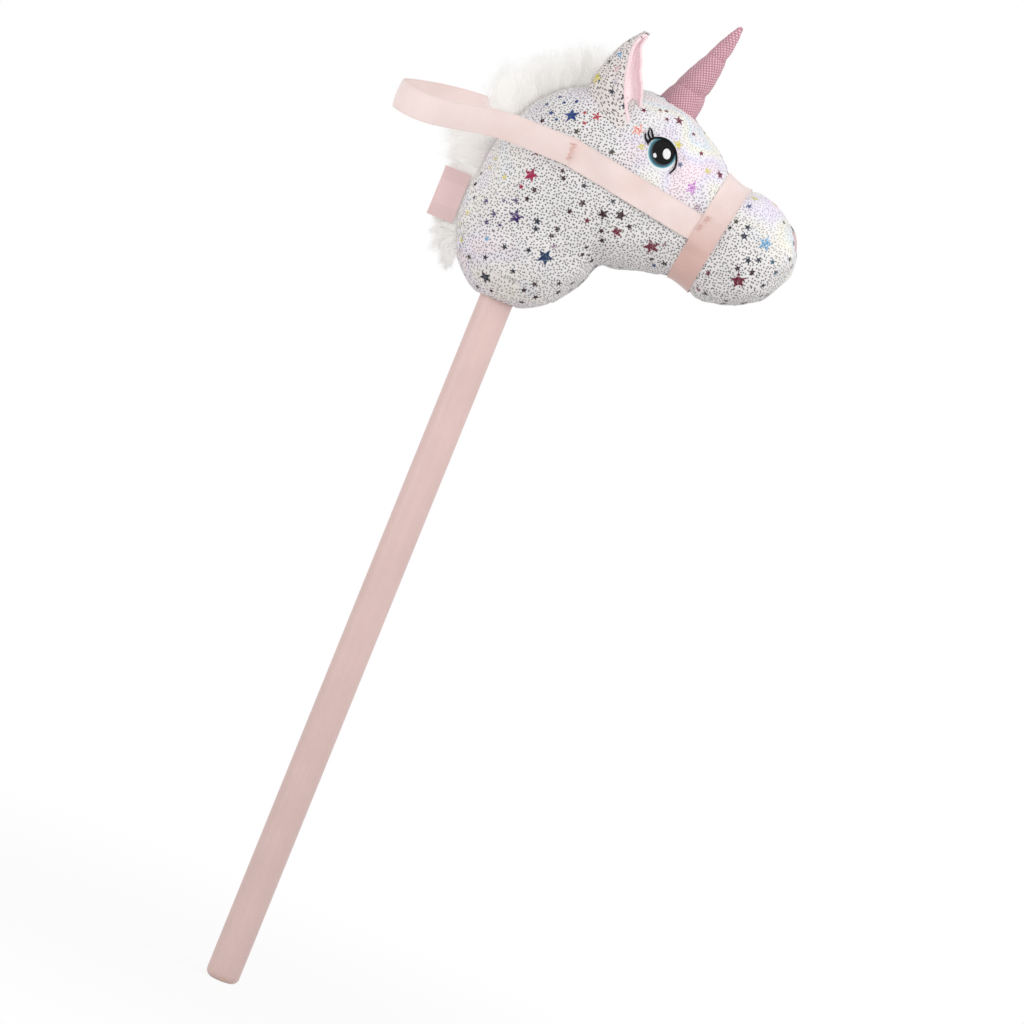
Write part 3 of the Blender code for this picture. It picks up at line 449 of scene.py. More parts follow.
# %% Sections of the head
NECK_BASE = 0.531  # height of the neck's base
STATIONS = np.array([
    (-0.0420, 0.0220, 0.0380, 0.0120, 0.0360), (-0.0485, 0.0410, 0.0510, 0.0305, 0.0435),
    (-0.0498, 0.0590, 0.0585, 0.0445, 0.0455), (-0.0465, 0.0870, 0.0615, 0.0486, 0.0465),
    (-0.0385, 0.1220, 0.0640, 0.0500, 0.0485), (-0.0180, 0.1540, 0.0675, 0.0512, 0.0500),
    (0.0140, 0.1705, 0.0720, 0.0528, 0.0498), (0.0480, 0.1795, 0.0790, 0.0550, 0.0475),
    (0.0770, 0.1775, 0.0870, 0.0576, 0.0440), (0.1040, 0.1610, 0.0975, 0.0602, 0.0405),
    (0.1220, 0.1480, 0.1075, 0.0616, 0.0390), (0.1455, 0.1420, 0.1305, 0.0561, 0.0405),
    (0.1600, 0.1378, 0.1445, 0.0559, 0.0413), (0.1730, 0.1308, 0.1595, 0.0596, 0.0385),
    (0.1820, 0.1213, 0.1715, 0.0676, 0.0320), (0.1872, 0.1115, 0.1800, 0.0763, 0.0225),
    (0.1891, 0.1010, 0.1865, 0.0870, 0.0100)])
STATIONS[:, (1, 3)] += NECK_BASE
NOSE_STATION = len(STATIONS) - 1
NOSE_TIP = np.array([0.1894, 0, NECK_BASE + 0.0940])
SECTION_POWER = 2.6
MANE_END = 6.5  # the station where the mane's strip gives way to the face gusset
STRIP_HALF_NECK, STRIP_HALF_NOSE = 0.014, 0.008
STATION_STEP, SHARE_STEP = 0.03, 0.004  # the small steps that tell which way the skin runs


def through(values, at):
    """A smooth curve (Catmull-Rom) through rows of values, read at row numbers with fractions."""
    values = np.asarray(values, float).reshape(len(values), -1)
    at = np.asarray(at, float)
    low = np.clip(np.floor(at).astype(int), 0, len(values) - 2)
    f = (at - low)[..., None]
    spread = np.vstack([2 * values[0] - values[1], values, 2 * values[-1] - values[-2]])
    a, b, c, d = (spread[low + k] for k in range(4))
    return 0.5 * (2 * b + (c - a) * f + (2 * a - 5 * b + 4 * c - d) * f**2 + (3 * b - a - 3 * c + d) * f**3)


def section(at, angle):
    """The point of the section at a station where the angle is 0 at the crest and pi underneath."""
    row = through(STATIONS, at)
    power = 2 / SECTION_POWER
    up = np.sign(np.cos(angle)) * np.abs(np.cos(angle)) ** power
    out = -np.abs(np.sin(angle)) ** power
    x = (row[..., 0] + row[..., 2]) / 2 + up * (row[..., 0] - row[..., 2]) / 2
    z = (row[..., 1] + row[..., 3]) / 2 + up * (row[..., 1] - row[..., 3]) / 2
    return np.stack([x, out * row[..., 4], z], -1)


def eased(share):
    """0 to 1 with a level start and end: s^2 (3 - 2s)."""
    share = np.clip(share, 0, 1)
    return share * share * (3 - 2 * share)


# Even steps round the head need the angle for each share of the way, so it is worked out once.
ROWS_PER_STATION, SHARES = 12, 301
fine_angle = np.linspace(0, math.pi, 901)
fine_at = np.linspace(0, NOSE_STATION, NOSE_STATION * ROWS_PER_STATION + 1)
fine = section(fine_at[:, None], fine_angle[None, :])
arc = np.concatenate([np.zeros((len(fine_at), 1)),
                      np.cumsum(np.linalg.norm(np.diff(fine, axis=1), axis=2), axis=1)], axis=1)
HALF_GIRTH = arc[:, -1]
ANGLE_OF = np.array([np.interp(np.linspace(0, length[-1], SHARES), length, fine_angle) for length in arc])


def between(table, r, c):
    """A table at row r and column c, read between its entries (bilinear). Past an edge it stays level."""
    r, c = np.clip(r, 0, table.shape[0] - 1.001), np.clip(c, 0, table.shape[1] - 1.001)
    i, j = r.astype(int), c.astype(int)
    f, g = r - i, c - j
    return ((table[i, j] * (1 - g) + table[i, j + 1] * g) * (1 - f)
            + (table[i + 1, j] * (1 - g) + table[i + 1, j + 1] * g) * f)


def half_girth(at):
    """Half the length round the head at a station."""
    return np.interp(at, fine_at, HALF_GIRTH)


def strip_share(at):
    """The share of the way round where the strip or the gusset meets the side panel."""
    half = STRIP_HALF_NECK + (STRIP_HALF_NOSE - STRIP_HALF_NECK) * eased(
        (np.asarray(at) - MANE_END) / (NOSE_STATION - MANE_END))
    return half / half_girth(at)


def even_skin(at, share):
    """The skin before any softness. Shares past 1 come round to the other side."""
    turned = (np.asarray(share) + 1) % 2 - 1
    angle = between(ANGLE_OF, np.asarray(at) * ROWS_PER_STATION, np.abs(turned) * (SHARES - 1))
    point = section(at, angle)
    return point * np.stack([np.ones_like(turned), np.where(turned < 0, -1.0, 1.0), np.ones_like(turned)], -1)


def skin_partials(at, share):
    """How the point moves for one station and for one share, by small steps both ways."""
    a, s = STATION_STEP, SHARE_STEP
    return ((even_skin(at + a, share) - even_skin(at - a, share)) / (2 * a),
            (even_skin(at, share + s) - even_skin(at, share - s)) / (2 * s))


def pattern_place(at, share):
    """Where a place of a side panel lies on the flat cloth: from the middle of its section, out along the
    section's line by the length along the skin. So the print isn't stretched where the skin turns away."""
    at, share = np.broadcast_arrays(np.asarray(at, float), np.asarray(share, float))
    row = through(STATIONS, at)
    crest, under = row[..., 0:2], row[..., 2:4]
    return (crest + under) / 2 + unit(under - crest) * ((np.abs(share) - 0.5) * half_girth(at))[..., None]


def skin_normal(at, share):
    """The outward direction: the cross product of the two ways along the skin."""
    along, round_ = skin_partials(at, share)
    return unit(np.cross(round_, along))


check = skin_normal(np.array([5.0]), np.array([0.5]))[0]
print("girth at the cheeks", round(2 * float(half_girth(7.0)), 3), "normal at the cheek", check.round(2))

# %% [markdown]
# ## What sewing and stuffing do to the skin
# A stuffed head is never even. The stuffing makes shallow lumps, a seam pulls the cloth in along a
# narrow valley, and the throat folds where the neck meets the jaw. All of this is one height over
# the even skin, so panels, prints, ribbons and filling move together and never cut into each other.

# %% Softness of the head
LUMP = 0.00055
SEAM_DEPTH, SEAM_WIDTH = 0.0012, 0.0019
PUCKER, PUCKER_HEIGHT = 0.0012, 0.00028  # the wave's length over 2 pi, and its height
BAND_STATION, PINCH_DEPTH, HORN_PULL = 10.4, 0.0030, 0.0018
PINCH_HALF = 0.54  # half the pinch's width, in stations
HORN_PULL_X, HORN_PULL_REACH, CROWN = 0.0765, 0.024, 0.64  # it pulls only above the crown's height
SEAMS_FADE_AT = 13.5  # the station where the seams' valleys start to fade towards the nose
FOOT_PITCH = 0.020  # metres between the first stations
CREST_RUN, UNDER_RUN = run_length(fine[:, 0]), run_length(fine[:, -1])
FOLD_FOOT, FOLD_TOP = np.array([0.0600, 0.5760]), np.array([0.0500, 0.6130])
FOLD_DEPTH, FOLD_WIDTH = 0.0031, 0.0075


def lumps(point):
    """Three slow waves in different directions, each the height of a shallow lump."""
    x, y, z = np.moveaxis(point, -1, 0)
    return (np.sin(141 * x + 43 * y + 1.3) * np.sin(118 * z - 61 * y + 0.4)
            + np.sin(196 * x + 88 * z + 2.1) * np.sin(173 * y + 30 * z)
            + 0.6 * np.sin(265 * z - 120 * x + 0.7)) * LUMP


def throat_fold(point):
    """A valley along a line from the throat up the side, which fades as it climbs."""
    side = point[..., (0, 2)] - FOLD_FOOT
    way = FOLD_TOP - FOLD_FOOT
    climb = side @ way / (way @ way)
    off = np.linalg.norm(side - np.clip(climb, 0, 1)[..., None] * way, axis=-1)
    return -FOLD_DEPTH * np.exp(-((off / FOLD_WIDTH) ** 2)) * (1 - 0.85 * eased(climb))


def seam_valley(at, share):
    """The pull of the seams beside the strip, under the jaw and round the base: -d exp(-(distance/w)^2).
    Beside each seam the cloth puckers: a wave along the seam that dies away with the distance from it."""
    at = np.asarray(at)
    away = np.abs((np.asarray(share) + 1) % 2 - 1)
    girth = half_girth(at)
    off_strip, off_under = (away - strip_share(at)) * girth, (1 - away) * girth
    beside, under = np.exp(-((off_strip / SEAM_WIDTH) ** 2)), np.exp(-((off_under / SEAM_WIDTH) ** 2))
    foot = np.exp(-((at * FOOT_PITCH / SEAM_WIDTH) ** 2))
    nose_fade = 1 - eased((at - SEAMS_FADE_AT) / 2)
    crest_run, under_run = np.interp(at, fine_at, CREST_RUN), np.interp(at, fine_at, UNDER_RUN)
    pucker = (np.sin(crest_run / PUCKER + 1.6 * np.sin(crest_run * 71)) * np.exp(-np.abs(off_strip) / 0.005)
              + np.sin(under_run / PUCKER + 1.6 * np.sin(under_run * 83)) * np.exp(-off_under / 0.005))
    return (-SEAM_DEPTH * (beside + 0.8 * under + 0.7 * foot) + PUCKER_HEIGHT * pucker) * nose_fade


def band_pinch(at):
    """The noseband is drawn tight, so the head is a little thinner under it: -d exp(-((at - band)/w)^4)."""
    return -PINCH_DEPTH * np.exp(-(((np.asarray(at) - BAND_STATION) / PINCH_HALF) ** 4))


def horn_pull(point):
    """The horn's seam draws the crown down round it: -d exp(-(distance/24 mm)^4)."""
    away = np.hypot(point[..., 0] - HORN_PULL_X, point[..., 1]) / HORN_PULL_REACH
    return -HORN_PULL * np.exp(-(away**4)) * (point[..., 2] > CROWN)


def head(at, share, lift=0.0, seams=True):
    """A point on the soft head, lifted off its cloth. Ribbons pass over the seams, so they leave them out."""
    at, share = np.broadcast_arrays(np.asarray(at, float), np.asarray(share, float))
    point = even_skin(at, share)
    high = lumps(point) + throat_fold(point) + horn_pull(point)
    high = high + band_pinch(at) * (1 - 0.85 * eased((np.abs(share) - 0.70) / 0.2)) + lift
    if seams:
        high = high + seam_valley(at, share)
    return point + skin_normal(at, share) * np.asarray(high)[..., None]


# A table of the right side answers where a line meets the head.
table_at, table_share = np.meshgrid(np.linspace(0, NOSE_STATION, 481), np.linspace(0, 1, 241), indexing="ij")
TABLE_AT, TABLE_SHARE = table_at.ravel(), table_share.ravel()
TABLE = head(TABLE_AT, TABLE_SHARE, seams=False)
TABLE_NORMAL = skin_normal(TABLE_AT, TABLE_SHARE)


def on_head(points, way):
    """Where lines through points along a way come down on the head's right side: the nearest table
    point that faces the line, then the line is cut with the plane that touches the skin there.
    Gives the places, the outward directions, and the stations and shares."""
    points, way = np.asarray(points, float).reshape(-1, 3), unit(np.asarray(way, float))
    facing = TABLE_NORMAL @ way < -0.05
    middle = points.mean(axis=0)
    off = TABLE - middle
    off -= np.outer(off @ way, way)
    spread = points - middle
    spread -= np.outer(spread @ way, way)
    reach = np.linalg.norm(spread, axis=1).max() + 0.004
    near = np.flatnonzero(facing & (np.linalg.norm(off, axis=1) < reach))
    found = np.empty(len(points), int)
    for start in range(0, len(points), 200):
        gap = TABLE[near][None] - points[start:start + 200, None]
        gap -= (gap @ way)[..., None] * way
        found[start:start + 200] = near[np.argmin(np.einsum("ijk,ijk->ij", gap, gap), axis=1)]
    normal = TABLE_NORMAL[found]
    distance = np.einsum("ij,ij->i", TABLE[found] - points, normal) / (normal @ way)
    return points + distance[:, None] * way, normal, TABLE_AT[found], TABLE_SHARE[found]


print("skin table", len(TABLE), "points")

# %% [markdown]
# ## Shared effects
# Four small machines are used by several finishes: dots of print at random places, slow clouds of
# tone, woven threads, and a fine nap. Each takes its scale as an input.

# %% Node groups
tree, takes, gives = new_group(
    "Scattered dots", [("Vector", "Vector", None), ("Spacing", "Float", 0.001), ("Size", "Float", 0.3)],
    [("Mask", "Float"), ("Tone", "Color")])
cells = add(tree, "TexVoronoi", {
    "Vector": scaled(tree, takes["Vector"], math_node(tree, "DIVIDE", 1.0, takes["Spacing"])),
    "Scale": 1.0, "Randomness": 0.75}, voronoi_dimensions="2D")
rim = math_node(tree, "SUBTRACT", cells.outputs["Distance"], takes["Size"])
tree.links.new(step_between(tree, rim, 0.04, -0.04), gives["Mask"])
tree.links.new(cells.outputs["Color"], gives["Tone"])

tree, takes, gives = new_group(
    "Cloudy tone", [("Vector", "Vector", None), ("Scale", "Float", 30.0), ("Strength", "Float", 0.1),
                    ("Color", "Color", WHITE)], [("Color", "Color"), ("Cloud", "Float")])
cloud = noise(tree, takes["Vector"], takes["Scale"], Detail=3.0, Roughness=0.6)
shade = times(tree, step_between(tree, cloud, 0.3, 0.7), takes["Strength"])
tree.links.new(scaled(tree, takes["Color"], math_node(tree, "SUBTRACT", 1.0, shade)), gives["Color"])
tree.links.new(cloud, gives["Cloud"])

tree, takes, gives = new_group(
    "Woven threads", [("Vector", "Vector", None), ("Pitch", "Float", 0.0005), ("Across", "Float", 0.6)],
    [("Height", "Float")])
split = add(tree, "SeparateXYZ", {0: takes["Vector"]}).outputs
turn = math_node(tree, "DIVIDE", 2 * math.pi, takes["Pitch"])
wave_u, wave_v = (math_node(tree, "SINE", times(tree, split[axis], turn)) for axis in "XY")
tree.links.new(math_node(tree, "ADD", wave_u, times(tree, wave_v, takes["Across"])), gives["Height"])

tree, takes, gives = new_group(
    "Nap", [("Vector", "Vector", None), ("Scale", "Float", 900.0)], [("Height", "Float")])
tree.links.new(noise(tree, takes["Vector"], takes["Scale"], Detail=2.0, Roughness=0.7), gives["Height"])
print("groups", sorted(g.name for g in bpy.data.node_groups))


def cloudy(tree, where, scale, strength, colour):
    """A colour with slow clouds of a darker tone, and the clouds themselves."""
    return use_group(tree, "Cloudy tone",
                     {"Vector": where, "Scale": scale, "Strength": strength, "Color": colour})


def woven(tree, pitch):
    """The height of threads woven both ways, on the piece's flat pattern."""
    return use_group(tree, "Woven threads",
                     {"Vector": uv_place(tree), "Pitch": pitch, "Across": 1.0})["Height"]


def nap(tree, shader, where, scale, distance, strength):
    """Fine fluff all over a shader."""
    fluff = use_group(tree, "Nap", {"Vector": where, "Scale": scale})["Height"]
    emboss(tree, shader, fluff, distance, strength)


# %% [markdown]
# ## Printed cloth
# The head's cloth is off-white with a short nap, and carries thousands of foil dots, each less than a
# millimetre. The foil's reflection is painted into the colour. On the cheeks the dots are painted dark
# grey, as foil looks where it reflects shade. On top of the head and at the back of the neck they are
# painted pale, in pink, lilac, blue and yellow, as a painted reflection that also tints the cloth around
# it. A number that is stored at each point of the cloth, called foil, says how much of this painted pale
# reflection there is.

# %% Printed cloth
DOT_SPACING, DOT_SIZE = 0.00225, 0.255  # metres from dot to dot, and a dot's radius as a share of it
# Hues of the foil's painted reflection, on the pale dots and the cloth around them.
FOIL_HUES = ((0.34, (250, 232, 240)), (0.74, (248, 238, 238)), (0.42, (236, 230, 249)),
             (0.50, (247, 246, 248)), (0.58, (249, 247, 231)), (0.66, (230, 241, 250)))


def printed_cloth(name, warm=0.0):
    """Off-white cloth with foil dots. warm makes the cloth between the dots darker and beiger. The stored
    number foil paints the foil's reflection: where it is high the dots are painted pale in soft hues and
    tint the cloth, and where it is low they are painted dark grey. Where the number front is high, on
    the nose, the chin and the throat, the dots lie by y and x + z, so none is stretched."""
    made, tree, shader = new_finish(name, 0.8, Sheen_Weight=0.12, Sheen_Roughness=0.5)
    where, foil = object_place(tree), stored(tree, "foil")
    split = add(tree, "SeparateXYZ", {0: where}).outputs
    climb = times(tree, math_node(tree, "ADD", split["X"], split["Z"]), 0.85)
    ahead = add(tree, "CombineXYZ", {0: split["Y"], 1: climb}).outputs[0]
    front = math_node(tree, "GREATER_THAN", stored(tree, "front"), 0.5)
    dots = use_group(tree, "Scattered dots", {"Vector": mix_colours(tree, front, uv_place(tree), ahead),
                                              "Spacing": DOT_SPACING, "Size": DOT_SIZE})
    # Painted reflection: foil turns the dots from painted dark grey to pale hues, and tints the cloth with
    # those hues.
    hue = colour_ramp(tree, noise(tree, where, 26.0, Detail=1.0), FOIL_HUES)
    bare = light(229 - 4 * warm, 226 - 12 * warm, 226 - 16 * warm)
    base = cloudy(tree, where, 60.0, 0.06, mix_colours(tree, times(tree, foil, 0.75), bare, hue))["Color"]
    strong = add(tree, "HueSaturation", {"Saturation": 3.4, "Value": 0.74, "Color": hue}).outputs[0]
    pale = mix_colours(tree, 0.5, light(196, 192, 198), strong)
    dark = mix_colours(tree, 0.05, light(34, 32, 38), dots["Tone"])
    ink = times(tree, dots["Mask"], 0.95)
    tree.links.new(mix_colours(tree, ink, base, mix_colours(tree, foil, dark, pale)),
                   shader.inputs["Base Color"])
    tree.links.new(ranged(tree, dots["Mask"], 0, 1, 0.8, 0.45), shader.inputs["Roughness"])
    nap(tree, shader, where, 1400.0, 0.00012, 0.6)
    return made


star_cloth = printed_cloth("star_cloth")
base_cloth = printed_cloth("base_cloth", warm=0.3)
# On the ears, warm paints shade: the ear's cloth is darker and beiger, as it faces away from the lamps.
ear_cloth = printed_cloth("ear_cloth", warm=0.5)

SHINE = (  # where the foil's reflection is painted pale: x and z of its middle and its reach in mm, and how strongly
    (100, 690, 24, 1.0), (94, 670, 24, 0.95), (76, 652, 17, 0.75), (62, 708, 22, 0.85), (57, 672, 13, 0.65),
    (128, 682, 22, 0.9), (156, 671, 22, 1.0), (181, 648, 17, 0.9), (-45, 616, 22, 0.5), (-27, 556, 17, 0.5),
    (-34, 652, 22, 0.45), (-48, 585, 14, 0.4), (2, 548, 26, 0.35))


def painted_foil_reflection(normal, point):
    """Painted reflection on the foil print: 0 where the foil is painted dark, 1 where it is painted pale.
    Each place lets 1 - s exp(-(d / reach)^2) of the darkness through, and faces that look straight up
    get a little painted shine too."""
    dark = 1 - 0.45 * eased((normal[..., 2] - 0.35) / 0.6)
    for x, z, reach, strength in SHINE:
        away = np.hypot(point[..., 0] * 1000 - x, point[..., 2] * 1000 - z) / reach
        dark = dark * (1 - strength * np.exp(-(away**2)))
    return 1 - dark


# %% [markdown]
# ## Side panels
# The real head is cut from two side panels and sewn right sides together. Each panel here is a grid
# on the skin from the strip's seam down to the seam under the jaw, closer together near the seams
# so that their valleys come out round. The same grid, deeper by the cloth's thickness, is its back.

# %% Side panels
CLOTH = 0.0016
SEAM_GAP = 0.00008
SEAM_PULL = 0.75  # how much a grid's rows draw together at the seams


def skin_shell(name, at, share, material, **more):
    """A piece of the head's cloth on a grid of stations and shares."""
    outer = head(at, share)
    facing = skin_normal(at, share)
    # foil holds the painted reflection of the print's foil dots.
    values = {"foil": painted_foil_reflection(facing, outer),
              "front": eased((0.66 - np.abs(facing[..., 1])) / 0.1) * (facing[..., 2] < 0.35)}
    flat = pattern_place(at, share)
    return shell_piece(name, outer, head(at, share, -CLOTH), material, u=flat[..., 0], v=flat[..., 1],
                       values=values, **more)


rows = np.linspace(0.01, NOSE_STATION, 181)
even = np.linspace(0, 1, 67)
steps = even * (1 - SEAM_PULL) + (1 - np.cos(math.pi * even)) / 2 * SEAM_PULL
edge = strip_share(rows) + SEAM_GAP / half_girth(rows)
low_edge = 1 - SEAM_GAP / half_girth(rows)
panel_at = np.repeat(rows[:, None], len(steps), axis=1)
panel_share = edge[:, None] + (low_edge - edge)[:, None] * steps
for side, word in SIDES:
    panel = skin_shell(f"side_panel_cloth_{word}", panel_at, side * panel_share, star_cloth,
                       slot="star_print_cloth")
    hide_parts(f"side_panel_{word}")

# %% [markdown]
# ## Face gusset and nose
# The gusset is the strip between the ears that runs down the face. At the nose it closes the head
# with a small oval. The oval is a shallow dome: its rim shrinks with r while its middle rises with
# 1 - r squared.

# %% Face gusset
ACROSS = np.linspace(-1, 1, 17)


def strip_grid(rows_):
    """Stations and shares of the strip between the side panels, up to its seams."""
    at = np.repeat(rows_[:, None], len(ACROSS), axis=1)
    return at, (strip_share(rows_) - SEAM_GAP / half_girth(rows_))[:, None] * ACROSS


gusset_at, gusset_share = strip_grid(np.linspace(MANE_END + 0.01, NOSE_STATION, 121))
gusset_outer = head(gusset_at, gusset_share)
# The gusset's foil dots get the same painted reflection.
gusset = shell_piece("face_gusset_cloth", gusset_outer, head(gusset_at, gusset_share, -CLOTH), star_cloth,
                     u=np.interp(gusset_at, fine_at, CREST_RUN), v=gusset_share * half_girth(gusset_at),
                     values={"foil": painted_foil_reflection(skin_normal(gusset_at, gusset_share), gusset_outer)},
                     slot="star_print_cloth")
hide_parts("face_gusset")


def nose_dome(lift, size, turn_share):
    """The oval that closes the nose, from its rim (size 1) to its tip (size 0)."""
    rim = head(np.full_like(turn_share, NOSE_STATION), turn_share, lift)
    middle = rim.mean(axis=0)
    tip = NOSE_TIP + (lift, 0, 0)
    return middle + (rim - middle) * size[:, None, None] + (tip - middle) * (1 - size[:, None, None] ** 2)


def wrap(grid_):
    """A closed grid with its first column again at its end."""
    return np.concatenate([grid_, grid_[:, :1]], axis=1)


round_shares = np.linspace(-1, 1, 72, endpoint=False)
sizes = np.linspace(1.0, 0.02, 14)
cap_outer, cap_inner = nose_dome(0.0, sizes, round_shares), nose_dome(-CLOTH, sizes, round_shares)
# The nose's foil dots get a strong painted reflection all over.
nose = shell_piece("nose_cloth", cap_outer, cap_inner, star_cloth, closed=True, slot="star_print_cloth",
                   u=wrap(cap_outer[..., 1]), v=wrap(cap_outer[..., 2]),
                   values={"foil": np.full(cap_outer.shape[:2], 0.8)})

# %% [markdown]
# ## Neck base
# A round panel closes the neck about the pole. It is drawn together at the pole, so fine gathers run
# out from there and die away. Its points slide from the pole's hole to the first section, and rise
# with the 1.6th power of the way, which makes it bulge.

# %% Neck base panel
POLE_RADIUS, FIT = 0.0125, 0.0003
BORE = POLE_RADIUS + 2 * FIT + CLOTH + 0.0002
GATHERS, GATHER_HEIGHT, GATHER_REACH = 22, 0.00045, 0.35  # the reach is a share of the way to the seam
BASE_WAY = 0.028  # metres from the pole's hole to the seam


def neck_base(way, share, lift=0.0):
    """The base panel. way is 0 at the pole and 1 at the seam, share goes round as on the head."""
    way, share = np.broadcast_arrays(way, share)
    rim, turn = head(0 * share, share), math.pi * (1 + share)
    round_ = np.stack([np.cos(turn), np.sin(turn), 0 * turn], -1)
    hole = BORE * round_ + (0, 0, NECK_BASE)
    point = hole + (rim - hole) * way[..., None]
    point[..., 2] = NECK_BASE + (rim[..., 2] - NECK_BASE) * np.abs(way) ** 1.6
    gathers = GATHER_HEIGHT * np.cos(GATHERS * turn) * np.exp(-((way / GATHER_REACH) ** 2))
    seam = -SEAM_DEPTH * 0.7 * np.exp(-(((1 - way) * BASE_WAY / SEAM_WIDTH) ** 2))
    away = way[..., None]
    outward = unit(unit(0.55 * round_ - (0, 0, 1)) * away - np.array([0, 0, 1.0]) * (1 - away))
    return point + outward * (gathers + seam + lift)[..., None]


base_way, base_share = np.linspace(0, 1, 29)[:, None], np.linspace(-1, 1, 264, endpoint=False)[None]
base_outer = neck_base(base_way, base_share)
# The base's foil dots get a weaker painted reflection all over.
base = shell_piece("neck_base_cloth", base_outer, neck_base(base_way, base_share, -CLOTH), base_cloth,
                   closed=True, u=wrap(base_outer[..., 0]), v=wrap(base_outer[..., 1]),
                   values={"foil": np.full(base_outer.shape[:2], 0.4)}, slot="star_print_cloth")
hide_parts("neck_base_panel")

# %% [markdown]
# ## Mane backing
# The fur is sewn into a woven strip, whose beige edges show beside the seam. It is a grid on the skin
# like the panels, with a plain weave.

# %% Mane backing
def woven_cloth(name, colour):
    """A plain woven cloth: threads both ways, on the piece's pattern places."""
    made, tree, shader = new_finish(name, 0.85, Sheen_Weight=0.1)
    height = woven(tree, 0.0006)
    tone = cloudy(tree, object_place(tree), 90.0, 0.12, light(*colour))["Color"]
    gap = step_between(tree, height, -1.6, 0.2)
    tree.links.new(mix_colours(tree, gap, light(*[c * 0.8 for c in colour]), tone),
                   shader.inputs["Base Color"])
    emboss(tree, shader, height, 0.00012, 0.5)
    return made


backing_cloth = woven_cloth("beige_backing", (228, 218, 205))
mane_at, mane_share = strip_grid(np.linspace(0.01, MANE_END - 0.01, 91))
backing = shell_piece("mane_backing_cloth", head(mane_at, mane_share), head(mane_at, mane_share, -CLOTH),
                      backing_cloth, u=mane_at * 0.03, v=mane_share * half_girth(mane_at),
                      slot="woven_backing")
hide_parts("mane_backing")

# %% [markdown]
# ## Filling
# Three lumps of polyester fibre fill the head. They follow the cloth's inner face, so they are lofts
# through rings of the same skin, one cloth thickness and a fit deeper. The neck's lump has a bore
# for the pole's end.

# %% Filling
def fibre_fill():
    """White fibre: soft clouds of tone and a coarse nap."""
    made, tree, shader = new_finish("white_fibre", 0.95, Sheen_Weight=0.3)
    where = object_place(tree)
    tone = cloudy(tree, where, 140.0, 0.16, light(244, 243, 240))["Color"]
    tree.links.new(tone, shader.inputs["Base Color"])
    nap(tree, shader, where, 420.0, 0.001, 0.8)
    return made


fibre = fibre_fill()
DEEP = -(CLOTH + FIT + 0.0004)
NECK_CUT, MUZZLE_CUT = 5, 10
fill_share = np.linspace(-1, 1, 96, endpoint=False)


def fill_rings(first, last, count):
    """Rings of the filling between two stations."""
    at = np.linspace(first, last, count)[:, None] + 0 * fill_share
    return head(at, fill_share + 0 * at, DEEP)


bore_turn = math.pi * (1 + fill_share)
bore_radius, bore_top = BORE + 0.0004, NECK_BASE + 0.1045
bore_ring = np.stack([bore_radius * np.cos(bore_turn), bore_radius * np.sin(bore_turn), 0 * bore_turn], -1)
bore = bore_ring + np.linspace(bore_top, NECK_BASE + 0.004, 12)[:, None, None] * (0, 0, 1)
under = neck_base(np.linspace(0.12, 0.98, 10)[:, None], fill_share[None], DEEP)
neck_rings = np.concatenate([bore, under, fill_rings(0.15, NECK_CUT - 0.01, 40)])
head_rings = fill_rings(NECK_CUT + 0.01, MUZZLE_CUT - 0.01, 44)
muzzle_rings = fill_rings(MUZZLE_CUT + 0.01, NOSE_STATION - 0.02, 44)
for word, rings, first, last in (
        ("neck", neck_rings, (0, 0, bore_top), neck_rings[-1].mean(axis=0)),
        ("head", head_rings, head_rings[0].mean(axis=0), head_rings[-1].mean(axis=0)),
        ("muzzle", muzzle_rings, muzzle_rings[0].mean(axis=0), NOSE_TIP - (0.0022, 0, 0))):
    lump = loft_piece(f"{word}_filling", rings, fibre, [first, last], slot="polyester_fill")
    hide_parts(f"{word}_stuffing")
